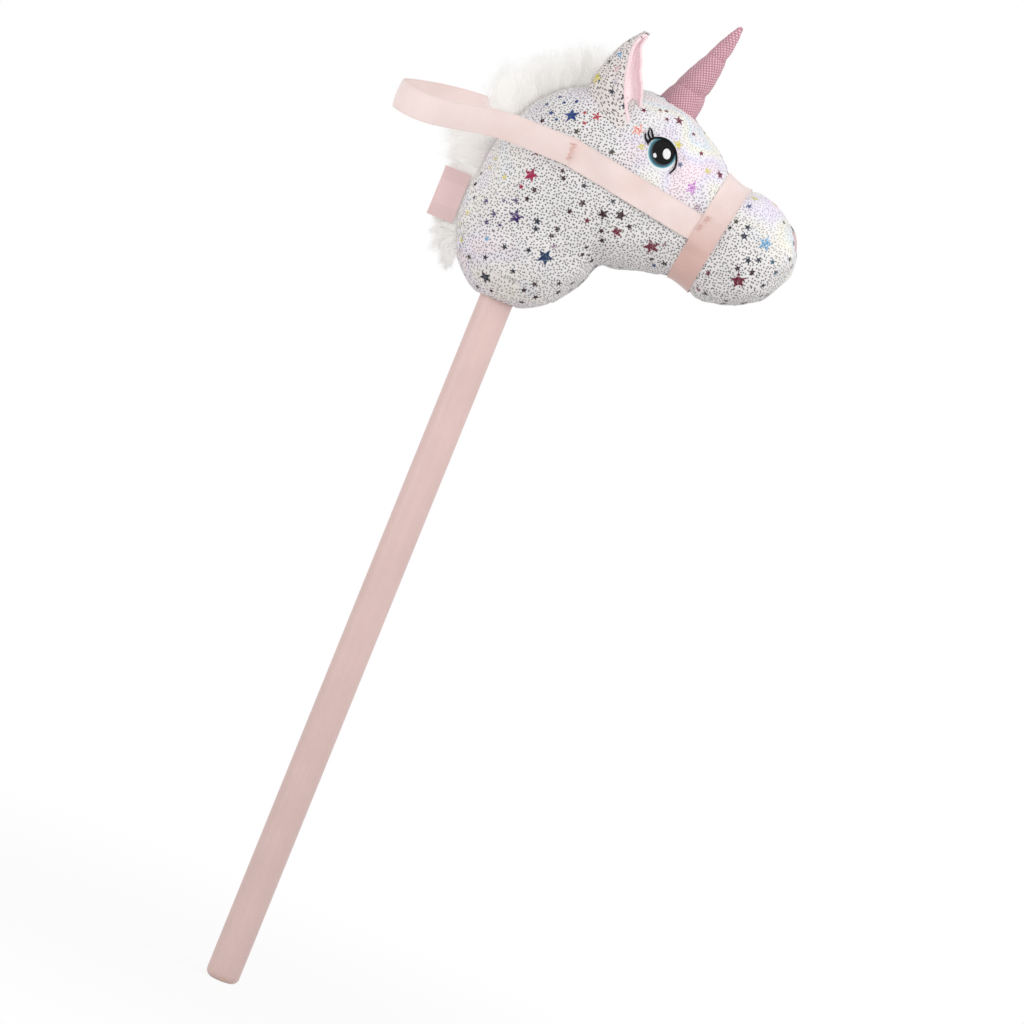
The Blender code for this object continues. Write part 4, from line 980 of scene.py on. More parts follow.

# %% [markdown]
# ## Foil stars
# The print's stars are thin patches of coloured foil. Each is laid out flat in its own plane and then
# carried onto the skin, so it bends with the cloth. A two by two system turns millimetres along the
# cloth into stations and shares. The stars that face the camera are listed one by one where the real
# print has them. The rest of the head gets seeded ones, coloured like their nearest neighbours.

# %% Star places, in millimetres (x, z, radius), by colour
STAR_COLOURS = {
    "blue": (6, 52, 116), "red": (172, 34, 46), "crimson": (156, 0, 64), "wine": (108, 6, 44),
    "maroon": (50, 8, 24), "violet": (54, 20, 94), "slate": (26, 36, 50), "navy": (16, 48, 88),
    "sky": (96, 158, 200), "denim": (84, 102, 134), "gold": (206, 194, 70), "orange": (226, 110, 82),
    "magenta": (196, 104, 206), "mauve": (138, 100, 128), "silver": (186, 180, 188),
    "dusty": (180, 104, 120), "olive": (70, 66, 52), "steel": (52, 92, 112),
}
STARS = {
    "blue": ((0, 674, 5.4), (-20, 675, 1.7), (-14, 670, 2.2), (-13, 684, 1.6), (-8, 681, 1.6), (0, 685, 1.9),
             (-9, 667, 1.6), (96, 597, 2.0)),
    "red": ((17, 680, 3.6), (8, 679, 1.7), (11, 672, 1.9)),
    "crimson": ((-11, 623, 5.0), (-14, 612, 2.0)),
    "wine": ((-13, 639, 2.3), (115, 675, 3.6), (58, 702, 1.6), (62, 703, 1.6), (65, 697, 1.7), (73, 700, 3.6),
             (47, 697, 2.2), (89, 608, 6.0), (86, 695, 1.7), (119, 662, 2.2), (134, 606, 2.2), (97, 684, 2.0),
             (132, 593, 2.3), (156, 609, 5.8), (39, 608, 2.3), (62, 608, 4.2)),
    "maroon": ((-18, 663, 2.3), (9, 634, 2.0), (12, 629, 2.3), (31, 618, 2.9), (25, 609, 2.3), (48, 616, 4.0),
               (60, 620, 4.0), (54, 599, 2.2), (-4, 614, 2.2), (-7, 606, 2.3), (51, 605, 2.2),
               (69, 615, 2.4), (19, 588, 2.3), (21, 594, 2.3), (37, 559, 2.3), (39, 553, 2.6), (46, 563, 2.7),
               (45, 584, 2.0), (53, 583, 2.2), (46, 590, 1.7), (152, 617, 2.4), (138, 592, 2.0),
               (154, 593, 1.7), (49.5, 586, 1.6), (163, 618, 2.6), (-46, 603, 2.0), (20.8, 551.3, 2.4)),
    "violet": ((-10, 591, 5.4), (-22, 599, 1.7), (-14, 602, 2.2), (-34, 594, 2.2), (-25, 587, 2.6),
               (-28, 580, 2.3), (-43, 593, 1.7), (-18, 581, 1.7)),
    "slate": ((8, 572, 2.2), (-9, 568, 2.2), (3, 554, 2.2), (102, 601, 2.2), (6, 594, 2.9), (7, 588, 2.4),
              (51, 627, 2.0), (28, 630, 2.2), (148, 647, 2.4), (148, 640, 2.9), (157, 625, 2.6),
              (164, 628, 2.4), (174, 613, 2.0), (176, 606, 1.7), (136, 642, 1.6), (171, 661, 1.6),
              (185, 638, 1.9), (92, 600, 1.7), (-19, 556, 2.2)),
    "navy": ((21, 572, 5.8),),
    "steel": ((174, 631, 2.2), (179, 625, 2.3)),
    "denim": ((143, 662, 2.2), (86, 670, 2.2)),
    "sky": ((164, 641, 5.4), (-23, 569, 2.4)),
    "gold": ((79, 683, 3.9), (106, 674, 2.7), (145, 669, 3.6), (-41, 617, 2.2), (-28, 615, 2.2),
             (-43, 581, 2.2), (-40, 562, 2.2), (-39, 625, 1.7), (-46, 572, 1.7), (55.3, 671.3, 2.9)),
    "orange": ((49, 682, 5.0),),
    "magenta": ((100, 658, 5.0),),
    "mauve": ((109, 647, 2.4), (97, 613, 2.2), (24, 582, 2.2)),
    "silver": ((-30, 602, 1.7), (7, 549, 2.2), (87, 676, 1.9)),
    "olive": ((8, 664, 2.4), (37, 660, 2.4), (139, 648, 2.3), (-44.9, 611.7, 1.6), (-31.3, 549.6, 2.2)),
}
BASE_STARS = {"slate": ((-13.8, 542.7, 5.0),), "olive": ((-16.4, 533.9, 2.2),),
              "maroon": ((-6, 535, 1.8), (16, 544, 2.3), (17.7, 536, 2.3), (25.6, 542.6, 2.5))}
STAR_WEAR = {"dusty": 0.42, "orange": 0.40, "magenta": 0.36, "gold": 0.26, "silver": 0.25, "sky": 0.22,
             "mauve": 0.2, "red": 0.12, "violet": 0.1, "wine": 0.05}  # shares of the flakes that are lost
print("stars placed by eye:", sum(len(v) for v in STARS.values()))

# %% Star meshes
STAR_LIFT = 0.00013
INNER_SHARE = 0.43  # how far a star's inner corners stand out, as a share of its points
STAR_GROWTH = 1.14  # the radii above are read to the edge of a star's print, its points reach farther


def star_template():
    """The middle, ten corners at half size and ten corners at full size, every second one drawn in."""
    turn = np.arange(10) * math.pi / 5
    size = np.where(np.arange(10) % 2 == 0, 1.0, INNER_SHARE)
    rim = np.stack([size * np.sin(turn), size * np.cos(turn)], -1)
    return np.vstack([[(0, 0)], rim * 0.5, rim])


def star_rows(table):
    """A table of stars as arrays: x, z and radius in metres, colours, and how worn each is."""
    names = [name for name, rows_ in table.items() for _ in rows_]
    spots = np.array([spot for rows_ in table.values() for spot in rows_]) / 1000
    return (spots * (1, 1, STAR_GROWTH), np.array([light(*STAR_COLOURS[n]) for n in names]),
            np.array([STAR_WEAR.get(n, 0) for n in names]))


def nearest_shown(points, spots, hidden=0.0):
    """For each spot of the picture, which of the points shows nearest to it."""
    shown = picture_place(points)
    return np.array([np.argmin(np.hypot(*np.moveaxis(shown - spot[:2], -1, 0)) + hidden)
                     for spot in spots])


def pairs(a, b, c, d):
    """Rows of two by two tables, with a and b above c and d."""
    return np.stack([np.stack([a, b], -1), np.stack([c, d], -1)], -2)


def lay_stars(name, surface, p, q, radius, colours, wear, seed, steps=(0.02, 0.003), **more):
    """Stars on a surface that two numbers p and q run over. Offsets along the cloth are solved for
    steps of p and q with the two by two table of the partials' products. Each star has a top, a
    skirt and a bottom."""
    rng = np.random.default_rng(seed)
    dp = (surface(p + steps[0], q, 0.0) - surface(p - steps[0], q, 0.0)) / (2 * steps[0])
    dq = (surface(p, q + steps[1], 0.0) - surface(p, q - steps[1], 0.0)) / (2 * steps[1])
    outward = unit(np.cross(dp, dq))
    one = unit(dp)
    two = np.cross(outward, one)
    shape = star_template()
    turn = rng.uniform(0, 2 * math.pi, len(p))
    flat = np.einsum("sij,kj->ski", pairs(np.cos(turn), -np.sin(turn), np.sin(turn), np.cos(turn)), shape)
    flat = flat * np.asarray(radius)[:, None, None]
    offset = flat[..., :1] * one[:, None] + flat[..., 1:] * two[:, None]
    table = pairs((dp * dp).sum(-1), (dp * dq).sum(-1), (dp * dq).sum(-1), (dq * dq).sum(-1))
    wish = np.stack([np.einsum("skj,sj->sk", offset, dp), np.einsum("skj,sj->sk", offset, dq)], -1)
    move = np.einsum("sij,skj->ski", np.linalg.inv(table), wish)
    to_p, to_q = np.asarray(p)[:, None] + move[..., 0], np.asarray(q)[:, None] + move[..., 1]
    high = surface(to_p, to_q, STAR_LIFT)
    low = surface(to_p, to_q, -STAR_LIFT / 2)
    points = np.concatenate([high, low[:, 11:], low[:, :1]], axis=1)
    count, size = points.shape[:2]  # a copy has 21 points on top, 10 below, and 1 below its middle
    k, n = np.arange(10), (np.arange(10) + 1) % 10
    tris = np.vstack([np.stack([k * 0, 1 + k, 1 + n], -1), np.stack([k * 0 + 31, 21 + n, 21 + k], -1)])
    quads = np.vstack([np.stack([1 + k, 11 + k, 11 + n, 1 + n], -1),
                       np.stack([11 + k, 21 + k, 21 + n, 11 + n], -1)])
    values = {"star_colour": np.repeat(np.asarray(colours, float), size, axis=0),
              "wear": np.repeat(wear, size)}
    return make_piece(name, points, [copied(quads, count, size), copied(tris, count, size)], foil,
                      values=values, slot="star_print_cloth", sharp=30, **more)


def foil_finish():
    """Foil: each star's own colour, cracked into flakes, some of which are lost or shine paler."""
    made, tree, shader = new_finish("star_foil", 0.42, Specular_IOR_Level=0.3)
    colour = stored(tree, "star_colour", "Color")
    flakes = add(tree, "TexVoronoi", {"Vector": object_place(tree), "Scale": 1900.0})
    chance = add(tree, "SeparateColor", {0: flakes.outputs["Color"]}).outputs
    shine = mix_colours(tree, times(tree, step_between(tree, chance[1], 0.7, 1.0), 0.5), colour,
                        mix_colours(tree, 0.45, colour, WHITE))
    shade = mix_colours(tree, step_between(tree, chance[2], 0.5, 1.0), shine,
                        mix_colours(tree, 0.4, shine, (0.01, 0.01, 0.02, 1)))
    lost = math_node(tree, "LESS_THAN", chance[0], stored(tree, "wear"))
    tree.links.new(mix_colours(tree, lost, shade, light(238, 232, 232)), shader.inputs["Base Color"])
    tree.links.new(times(tree, math_node(tree, "SUBTRACT", 1.0, lost), 0.12), shader.inputs["Metallic"])
    return made


foil = foil_finish()

# %% Listed stars on the right side
NEAR_CHEEK = 0.045  # how far the cheek stands in front of the pole, so its print looks larger
spots, star_colour, star_wear = star_rows(STARS)
seen_at = np.column_stack([spots[:, 0], 0 * spots[:, 0], spots[:, 1]])
seen_at += (np.array(LOOK_AT) - seen_at) * NEAR_CHEEK / DISTANCE
placed, _, star_at, star_share = on_head(seen_at, RAY)
lay_stars("stars_right", head, star_at, star_share, spots[:, 2], star_colour, star_wear, 11)
base_spots, base_colour, base_wear = star_rows(BASE_STARS)
found = nearest_shown(base_outer.reshape(-1, 3), base_spots, (base_outer[..., 1] > 0.005).ravel())
base_found = [np.broadcast_to(grid_, base_outer.shape[:2]).ravel()[found] for grid_ in (base_way, base_share)]
lay_stars("stars_base", neck_base, *base_found, base_spots[:, 2], base_colour, base_wear, 13)

# %% Seeded stars elsewhere
EYE_X, EYE_Z, EYE_CLEAR = 0.0730, 0.6738, 0.0182  # its middle, and how far its lashes reach
STRAP_Z, STRAP_FALL, STRAP_FROM = 0.6498, 0.113, 0.0165  # the middle of strap and rein, level up to x
STRAP_CLEAR, STRAP_STOP = 0.0114, 0.112  # half the lane that stays clear for them, and the x where it ends
SEEDED_TRIES, SEEDED_GAP = 2600, 0.0017  # places tried, and the least gap from edge to edge


def seeded_places(seed):
    """Places on the whole head, even by area, no two closer than a gap, away from the listed stars, from
    the eyes and from the cheek straps. A place's chance grows with the area it stands for."""
    rng = np.random.default_rng(seed)
    at = rng.uniform(0.2, NOSE_STATION - 0.2, SEEDED_TRIES)
    share = rng.uniform(-1, 1, SEEDED_TRIES)
    along, round_ = skin_partials(at, share)
    area = np.linalg.norm(np.cross(along, round_), axis=1)
    keep = rng.random(SEEDED_TRIES) < area / area.max()
    at, share = at[keep], share[keep]
    point = even_skin(at, share)
    radius = rng.choice([0.0017, 0.0021, 0.0025, 0.0036, 0.0052], len(at), p=[0.3, 0.28, 0.2, 0.12, 0.1])
    ok = np.abs(share) > strip_share(at) + 0.02
    ok |= (at > MANE_END + 0.6) & (np.abs(share) < strip_share(at) - 0.02)
    ok &= np.hypot(point[:, 0] - EYE_X, point[:, 2] - EYE_Z) > EYE_CLEAR + radius
    strap_height = STRAP_Z - STRAP_FALL * np.maximum(point[:, 0] - STRAP_FROM, 0)
    ok &= (np.abs(point[:, 2] - strap_height) > STRAP_CLEAR + radius) | (point[:, 0] > STRAP_STOP)
    facing = (skin_normal(at, share)[:, 1] < -0.25) & (np.abs(share) > 0.09)
    ok &= ~facing
    taken, sizes_ = list(placed), list(spots[:, 2])
    chosen = []
    for k in np.flatnonzero(ok):
        away = np.linalg.norm(np.array(taken) - point[k], axis=1) - np.array(sizes_) - radius[k]
        if away.min() > SEEDED_GAP:
            taken.append(point[k])
            sizes_.append(radius[k])
            chosen.append(k)
    return at[chosen], share[chosen], point[chosen], radius[chosen]


fill_at, fill_round, fill_point, fill_radius = seeded_places(5)
nearest = np.argmin(np.hypot(fill_point[:, None, 0] - placed[None, :, 0],
                             fill_point[:, None, 2] - placed[None, :, 2]), axis=1)
lay_stars("stars_around", head, fill_at, fill_round, fill_radius, star_colour[nearest],
          star_wear[nearest], 12)

# %% [markdown]
# ## Ears
# Each ear is a cupped leaf: an oval tube, open in front, that narrows and hooks forwards at the tip.
# Its half depth, its axis and its two lips are smooth curves through six measures at even heights, and
# its foot follows the head. The outer shell is the print, and the lining is pink plush.

# %% Ears
EAR_Y, EAR_TOP, EAR_SPLAY = 0.0290, NECK_BASE + 0.2172, 0.0030
EAR_TURN, EAR_CLOTH, EAR_SINK = math.radians(30), 0.0013, 0.0008
EAR_DEPTHS, EAR_ACROSS = (23.0, 20.8, 16.2, 11.3, 6.8, 3.0), 0.56  # half depths in mm, half width as a share
EAR_AXIS = (25.5, 24.2, 23.5, 23.6, 24.7, 30.2)  # mm in front of the pole
NEAR_LIP, FAR_LIP = (18, 33, 46, 56, 74, 92), (26, 32, 36, 40, 46, 56)  # degrees
LEFT_LEAN = np.array([-0.0040, 0.0, -0.0012])  # the left ear leans back
OPENING = np.array([math.cos(EAR_TURN), -math.sin(EAR_TURN)])
ACROSS_EAR = np.array([-OPENING[1], OPENING[0]])
EAR_CRUMPLE, LINING_MOUTH = 0.0005, 0.06  # metres, and radians that the lining stays inside the lips
EAR_HALF_ROUND, EAR_HEIGHT = 0.034, 0.072  # the flat pattern's half width at the foot, and its height


def ear(t, turn, depth=0.0, mouth_extra=0.0):
    """A point of the right ear. t climbs from 0 to 1, turn runs from -1 at the far lip of the mouth round
    the back to 1 at the near lip, and depth goes inwards."""
    t, turn = np.broadcast_arrays(np.asarray(t, float), np.asarray(turn, float))
    half, middle, near, far = (through(np.array(row, float), t * 5)[..., 0]
                               for row in (EAR_DEPTHS, EAR_AXIS, NEAR_LIP, FAR_LIP))
    near, far = np.radians(near) + mouth_extra, np.radians(far) + mouth_extra
    angle = math.pi + np.where(turn < 0, turn * (math.pi - far), turn * (math.pi - near))
    crumple = EAR_CRUMPLE * np.sin(9 * angle + 14 * t) * np.sin(math.pi * t)
    long, wide = half / 1000 - depth + crumple, half / 1000 * EAR_ACROSS - depth + crumple
    xy = OPENING * (long * np.cos(angle))[..., None] + ACROSS_EAR * (wide * np.sin(angle))[..., None]
    foot = np.array([EAR_AXIS[0] / 1000, -EAR_Y]) + xy * (EAR_DEPTHS[0] / half)[..., None]
    axis = np.stack([middle / 1000, -(EAR_Y + EAR_SPLAY * t)], -1)
    low = ear_floor(foot) - EAR_SINK
    return np.stack([axis[..., 0] + xy[..., 0], axis[..., 1] + xy[..., 1], low + (EAR_TOP - low) * t], -1)


def ear_lining(t, turn, depth):
    """The lining fills the shell nearly to the straight line between the lips, less towards the tip."""
    near, far, deep = (ear(t, turn_, depth, LINING_MOUTH) for turn_ in (0 * turn + 1, 0 * turn - 1, turn))
    share = (turn[..., None] + 1) / 2
    chord = far + (near - far) * share
    fold = 1 - 0.30 * np.exp(-(((share - 0.66) / 0.10) ** 2)) * eased(t[..., None] / 0.3)
    return deep + (chord - deep) * (0.88 - 0.3 * t[..., None]) * fold * np.sin(math.pi * share) ** 0.5


FLOOR_X, FLOOR_Y = (-0.004, 0.050), (-0.052, -0.006)  # the part of the head under an ear
FLOOR_STEPS = (40, 36)
floor_x, floor_y = np.meshgrid(*(np.linspace(*ends, steps_ + 1) for ends, steps_ in
                                 zip((FLOOR_X, FLOOR_Y), FLOOR_STEPS)), indexing="ij")
floor_z = on_head(np.stack([floor_x, floor_y, 0 * floor_x + 1], -1), (0, 0, -1))[0][:, 2]
floor_z = floor_z.reshape(floor_x.shape)


def ear_floor(foot):
    """Height of the head under a foot point."""
    r, c = ((foot[..., k] - ends[0]) / (ends[1] - ends[0]) * FLOOR_STEPS[k]
            for k, ends in enumerate((FLOOR_X, FLOOR_Y)))
    return between(floor_z, r, c)


def plush(name, colour, core):
    """Short pile: a soft nap, a sheen, a faint glow for the light that goes from hair to hair, and a
    darker core where the value core is high: partly the plush's own deeper pink, partly painted shade
    in the hollow."""
    made, tree, shader = new_finish(name, 0.9, Sheen_Weight=0.5, Sheen_Roughness=0.4,
                                    Emission_Color=(1, 0.45, 0.5, 1), Emission_Strength=0.06)
    where = object_place(tree)
    base = mix_colours(tree, stored(tree, "core"), light(*colour), light(*core))
    tree.links.new(cloudy(tree, where, 700.0, 0.14, base)["Color"], shader.inputs["Base Color"])
    nap(tree, shader, where, 1100.0, 0.0003, 0.7)
    return made


pink_plush = plush("pink_plush", (255, 240, 243), (243, 174, 184))
rim_plush = plush("pale_plush", (246, 222, 227), (246, 222, 227))
ear_t, ear_turn = np.meshgrid(np.linspace(0, 1, 49), np.linspace(-1, 1, 61), indexing="ij")
lining_t = ear_t * 0.95
# Partly the lining's deeper pink and partly painted shade, in the hollow beside the near lip, fading towards
# the tip.
core = np.exp(-(((ear_turn - 0.32) / 0.26) ** 2)) * eased((1 - lining_t) / 0.5)
RIM_RADIUS = 0.0013
RIM_STEPS, RIM_SIDES = 90, 10  # points from a lip's foot to the tip, and round the rolled edge
rim_t = np.linspace(0.0, 0.975, RIM_STEPS)
rim_t = np.concatenate([rim_t, rim_t[-2::-1]])
rim_turn = np.where(np.arange(len(rim_t)) < RIM_STEPS, 1.0, -1.0)


def on_side(points, t, side):
    """The right ear's points as they are, or mirrored and leaned for the left ear."""
    return mirrored(points, side) + (side < 0) * eased(np.asarray(t) / 0.4)[..., None] * LEFT_LEAN


def smoothed(line, reach):
    """A line whose every point is the mean of its neighbours up to a reach away. Its ends stay."""
    long = np.concatenate([np.repeat(line[:1], reach, axis=0), line, np.repeat(line[-1:], reach, axis=0)])
    middle = np.mean([long[k:k + len(line)] for k in range(2 * reach + 1)], axis=0)
    return np.concatenate([line[:1], middle[1:-1], line[-1:]])


for side, word in SIDES:
    outer = on_side(ear(ear_t, ear_turn), ear_t, side)
    inner = on_side(ear(ear_t, ear_turn, EAR_CLOTH), ear_t, side)
    shell = shell_piece(f"ear_cloth_{word}", outer, inner, ear_cloth,
                        u=ear_turn * EAR_HALF_ROUND * (1 - 0.8 * ear_t**2), v=ear_t * EAR_HEIGHT,
                        values={"foil": 0 * ear_t}, slot="star_print_cloth")
    back_face = on_side(ear(lining_t, ear_turn, EAR_CLOTH + 0.0001, LINING_MOUTH), lining_t, side)
    front_face = on_side(ear_lining(lining_t, ear_turn, 2 * EAR_CLOTH), lining_t, side)
    lining = shell_piece(f"ear_plush_{word}", back_face, front_face, pink_plush, values={"core": core},
                         slot="pink_plush")
    rim_path = on_side(smoothed(ear(rim_t, rim_turn, EAR_CLOTH * 0.75), 5), rim_t, side)
    rolled = loft_piece(f"ear_rim_{word}", tube_grid(rim_path, RIM_RADIUS, RIM_SIDES), rim_plush,
                        [rim_path[0], rim_path[-1]],
                        values={"core": np.zeros(len(rim_path) * RIM_SIDES + 2)}, slot="pink_plush")
    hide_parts(f"ear_shell_{word}")
    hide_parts(f"ear_lining_{word}")

# %% Stars on the ears
EAR_STARS = {"gold": ((6.6, 705.2, 5.0),), "dusty": ((18.1, 717.0, 3.4),), "silver": ((20.1, 708.2, 2.6),),
             "sky": ((16.1, 727.3, 2.3),),
             "slate": ((11.1, 720.1, 1.7), (20.1, 701.1, 2.3), (30.5, 700.3, 2.3), (34.3, 694.2, 2.3),
                       (9.8, 704.4, 1.0), (18.6, 738.8, 1.0))}
HIDDEN_STARS = (  # on the ear's far side: height and turn on the ear, radius, colour
    (0.2, -0.35, 0.0022, "wine"), (0.45, -0.55, 0.003, "violet"), (0.66, -0.3, 0.002, "slate"))
far_t, far_turn, far_radius, far_colour = zip(*HIDDEN_STARS)
ear_spots, ear_colour, ear_wear = star_rows(EAR_STARS)
found = nearest_shown(ear(ear_t, ear_turn).reshape(-1, 3), ear_spots, (ear_turn < 0.02).ravel())
found_t, found_turn = np.append(ear_t.ravel()[found], far_t), np.append(ear_turn.ravel()[found], far_turn)
ear_colour = np.vstack([ear_colour, [light(*STAR_COLOURS[n]) for n in far_colour]])
for side, word in SIDES:
    lay_stars(f"stars_ear_{word}", lambda p, q, lift: on_side(ear(p, q, -lift), p, side), found_t,
              found_turn, np.append(ear_spots[:, 2], far_radius), ear_colour,
              np.append(ear_wear, [0.1] * len(HIDDEN_STARS)), 20 + side, steps=(0.01, 0.01))

# %% [markdown]
# ## Horn
# The horn is a stuffed cone of spotted pink cloth. A thread winds up it and pinches it, so it swells
# between the turns. Its radius falls nearly evenly to the tip, less a narrow bell-shaped groove where
# the thread runs. The spots are printed on flat cloth, so each point also gets its place on the
# unrolled cone: its distance from the tip, and its turn shrunk by the sine of the cone's half angle.

# %% Horn
HORN_X, HORN_LENGTH, HORN_RADIUS, HORN_TIP = 0.0690, 0.0710, 0.0152, 0.0021
HORN_LEAN, HORN_TURNS, HORN_PINCH, HORN_CLOTH = math.radians(16.5), 2.42, 0.0018, 0.0010
HORN_SWELL, HORN_DIMPLE = 0.0005, 0.00016
SPOT_PITCH, SPOT_TILT = 0.0018, math.radians(38)
horn_way = np.array([math.sin(HORN_LEAN), 0, math.cos(HORN_LEAN)])
horn_ahead, horn_aside = np.array([horn_way[2], 0, -horn_way[0]]), np.array([0.0, 1.0, 0.0])
horn_foot = on_head([(HORN_X, 0.0, 1.0)], (0, 0, -1))[0][0]


def winding_turn(turn):
    """How far round its screw the thread has come: it runs nearly level across the right side."""
    return turn / (2 * math.pi) - 0.171 * np.cos(turn) + 0.286


def horn_radius(share, turn):
    """The cone's radius less the thread's groove, exp(-(phase/w)^2), which fades at both ends and behind."""
    cone = HORN_TIP + (HORN_RADIUS - HORN_TIP) * (1 - share) ** 0.92
    phase = (share * HORN_TURNS - winding_turn(turn)) % 1.0
    fade = eased(share / 0.10) * eased((1 - share) / 0.12)
    pinch = np.exp(-(((phase - 0.5) / 0.10) ** 2)) * (1 - 0.7 * np.maximum(-np.cos(turn), 0) ** 2)
    swell = HORN_SWELL * np.sin(math.pi * ((phase + 0.5) % 1.0)) ** 2
    dimple = HORN_DIMPLE * np.sin(5 * turn + 31 * share) * np.sin(3 * turn - 17 * share)
    return cone + (dimple + swell - HORN_PINCH * pinch * (0.35 + 0.65 * (1 - share))) * fade


def horn(share, turn, depth=0.0):
    """A point of the horn. share climbs from 0 to 1, turn goes round, and depth goes inwards."""
    share, turn = np.broadcast_arrays(np.asarray(share, float), np.asarray(turn, float))
    spoke = horn_ahead * np.cos(turn)[..., None] + horn_aside * np.sin(turn)[..., None]
    low = np.interp(np.abs((turn + math.pi) % (2 * math.pi) - math.pi), low_turn, low_rise)
    rise = low + (HORN_LENGTH - low) * share - depth * eased((share - 0.8) / 0.2)
    return horn_foot + spoke * (horn_radius(share, turn) - depth)[..., None] + horn_way * rise[..., None]


low_turn = np.linspace(0, math.pi, 33)
starts = (horn_foot + (horn_ahead * np.cos(low_turn)[:, None] - horn_aside * np.sin(low_turn)[:, None])
          * (HORN_RADIUS - 0.0004) + horn_way * HORN_LENGTH)
low_rise = (on_head(starts, -horn_way)[0] - horn_foot) @ horn_way - 0.0006


def spotted_cloth():
    """Dusky pink cloth with a diagonal grid of pale dots and a fine weave."""
    made, tree, shader = new_finish("spotted_pink_cloth", 0.62, Sheen_Weight=0.2)
    cell = add(tree, "Mapping", {"Vector": uv_place(tree), "Rotation": (0, 0, SPOT_TILT),
                                 "Scale": (1 / SPOT_PITCH, 1 / SPOT_PITCH, 1)}).outputs[0]
    for operation, by in (("FRACTION", (0, 0, 0)), ("SUBTRACT", (0.5, 0.5, 0)), ("MULTIPLY", (1, 1, 0))):
        cell = add(tree, "VectorMath", {0: cell, 1: by}, operation=operation).outputs[0]
    away = add(tree, "VectorMath", {0: cell}, operation="LENGTH").outputs["Value"]
    dot = times(tree, step_between(tree, away, 0.36, 0.22), 0.85)
    tone = cloudy(tree, object_place(tree), 60.0, 0.12, light(190, 132, 148))["Color"]
    tree.links.new(mix_colours(tree, dot, tone, light(240, 206, 214)), shader.inputs["Base Color"])
    emboss(tree, shader, woven(tree, 0.0005), 0.00006, 0.5)
    return made


spotted = spotted_cloth()
HORN_ROWS, HORN_SIDES = 121, 96
DOME_RINGS = 5  # the rings that round a cone's end
horn_share, horn_turn = np.meshgrid(np.linspace(0, 1, HORN_ROWS),
                                    np.linspace(0, 2 * math.pi, HORN_SIDES + 1), indexing="ij")
slant = math.hypot(HORN_LENGTH, HORN_RADIUS)
from_tip = slant * (1 - horn_share) + 0.004
flat_turn = (horn_turn - math.pi) * HORN_RADIUS / slant
horn_u, horn_v = from_tip * np.cos(flat_turn), from_tip * np.sin(flat_turn)


def rounded_top(outer, way, rise):
    """A few rings that close a cone's end with a small dome."""
    last = outer[-1]
    middle = last.mean(axis=0)
    a = np.linspace(0, math.pi / 2 * 0.97, DOME_RINGS + 1)[1:, None, None]
    return np.concatenate([outer, middle + (last - middle) * np.cos(a) + way * rise * np.sin(a)])


def dome_rows(x):
    """The last row of a table again for each ring of the dome."""
    return np.vstack([x, np.repeat(x[-1:], DOME_RINGS, axis=0)])


outer = rounded_top(horn(horn_share, horn_turn)[:, :HORN_SIDES], horn_way, HORN_TIP * 0.8)
inner = rounded_top(horn(horn_share, horn_turn, HORN_CLOTH)[:, :HORN_SIDES], horn_way, HORN_TIP * 0.4)
cover = shell_piece("horn_cloth", outer, inner, spotted, u=dome_rows(horn_u), v=dome_rows(horn_v),
                    closed=True, slot="spotted_pink_cloth")
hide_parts("horn_cover")
core_rings = horn(horn_share[::3], horn_turn[::3], HORN_CLOTH + FIT)[:, :HORN_SIDES:2]
core_fill = loft_piece("horn_filling", core_rings, fibre,
                       [horn_foot + horn_way * 0.001, core_rings[-1].mean(axis=0) + horn_way * 0.0006],
                       slot="polyester_fill")
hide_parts("horn_stuffing")

# %% [markdown]
# ## Thread
# Stitches and the horn's winding are thread: a round tube along a path. Two directions square to the
# path carry a small circle along it. Embroidery is made further down, as patches.

# %% Thread helper and the horn's winding
def thread_finish(name, colour):
    """Twisted yarn: short fluff and small changes of tone."""
    made, tree, shader = new_finish(name, 0.5, Sheen_Weight=0.25)
    where = object_place(tree)
    tree.links.new(cloudy(tree, where, 900.0, 0.25, light(*colour))["Color"], shader.inputs["Base Color"])
    nap(tree, shader, where, 2500.0, 0.0001, 0.6)
    return made


rose_thread = thread_finish("rose_thread", (196, 132, 148))
salmon_thread = thread_finish("salmon_thread", (238, 196, 187))
WIND_RADIUS, WIND_ENDS = 0.00024, (-4.5, 8.8)  # the turns, in radians, where the thread comes out and goes in
wind = np.linspace(*WIND_ENDS, 420)
wind_share = (0.5 + winding_turn(wind)) / HORN_TURNS
print("thread climbs from", wind_share[0].round(3), "to", wind_share[-1].round(3))
wind_path = horn(wind_share, wind, 0.0001)
rings = tube_grid(wind_path, WIND_RADIUS, 8)
loft_piece("horn_thread", rings, rose_thread, [wind_path[0], wind_path[-1]], slot="rose_thread")

# %% [markdown]
# ## Ribbon
# The bridle is satin ribbon, 20 mm wide: smooth, with fine ribs across it, a woven edge along each
# side, and a faint cloudy sheen. Its pattern place runs along the ribbon and across it in metres.

# %% Ribbon finish
RIBBON, RIBBON_THICK, LAY = 0.020, 0.0006, 0.0006
RIB_PITCH = 0.00045


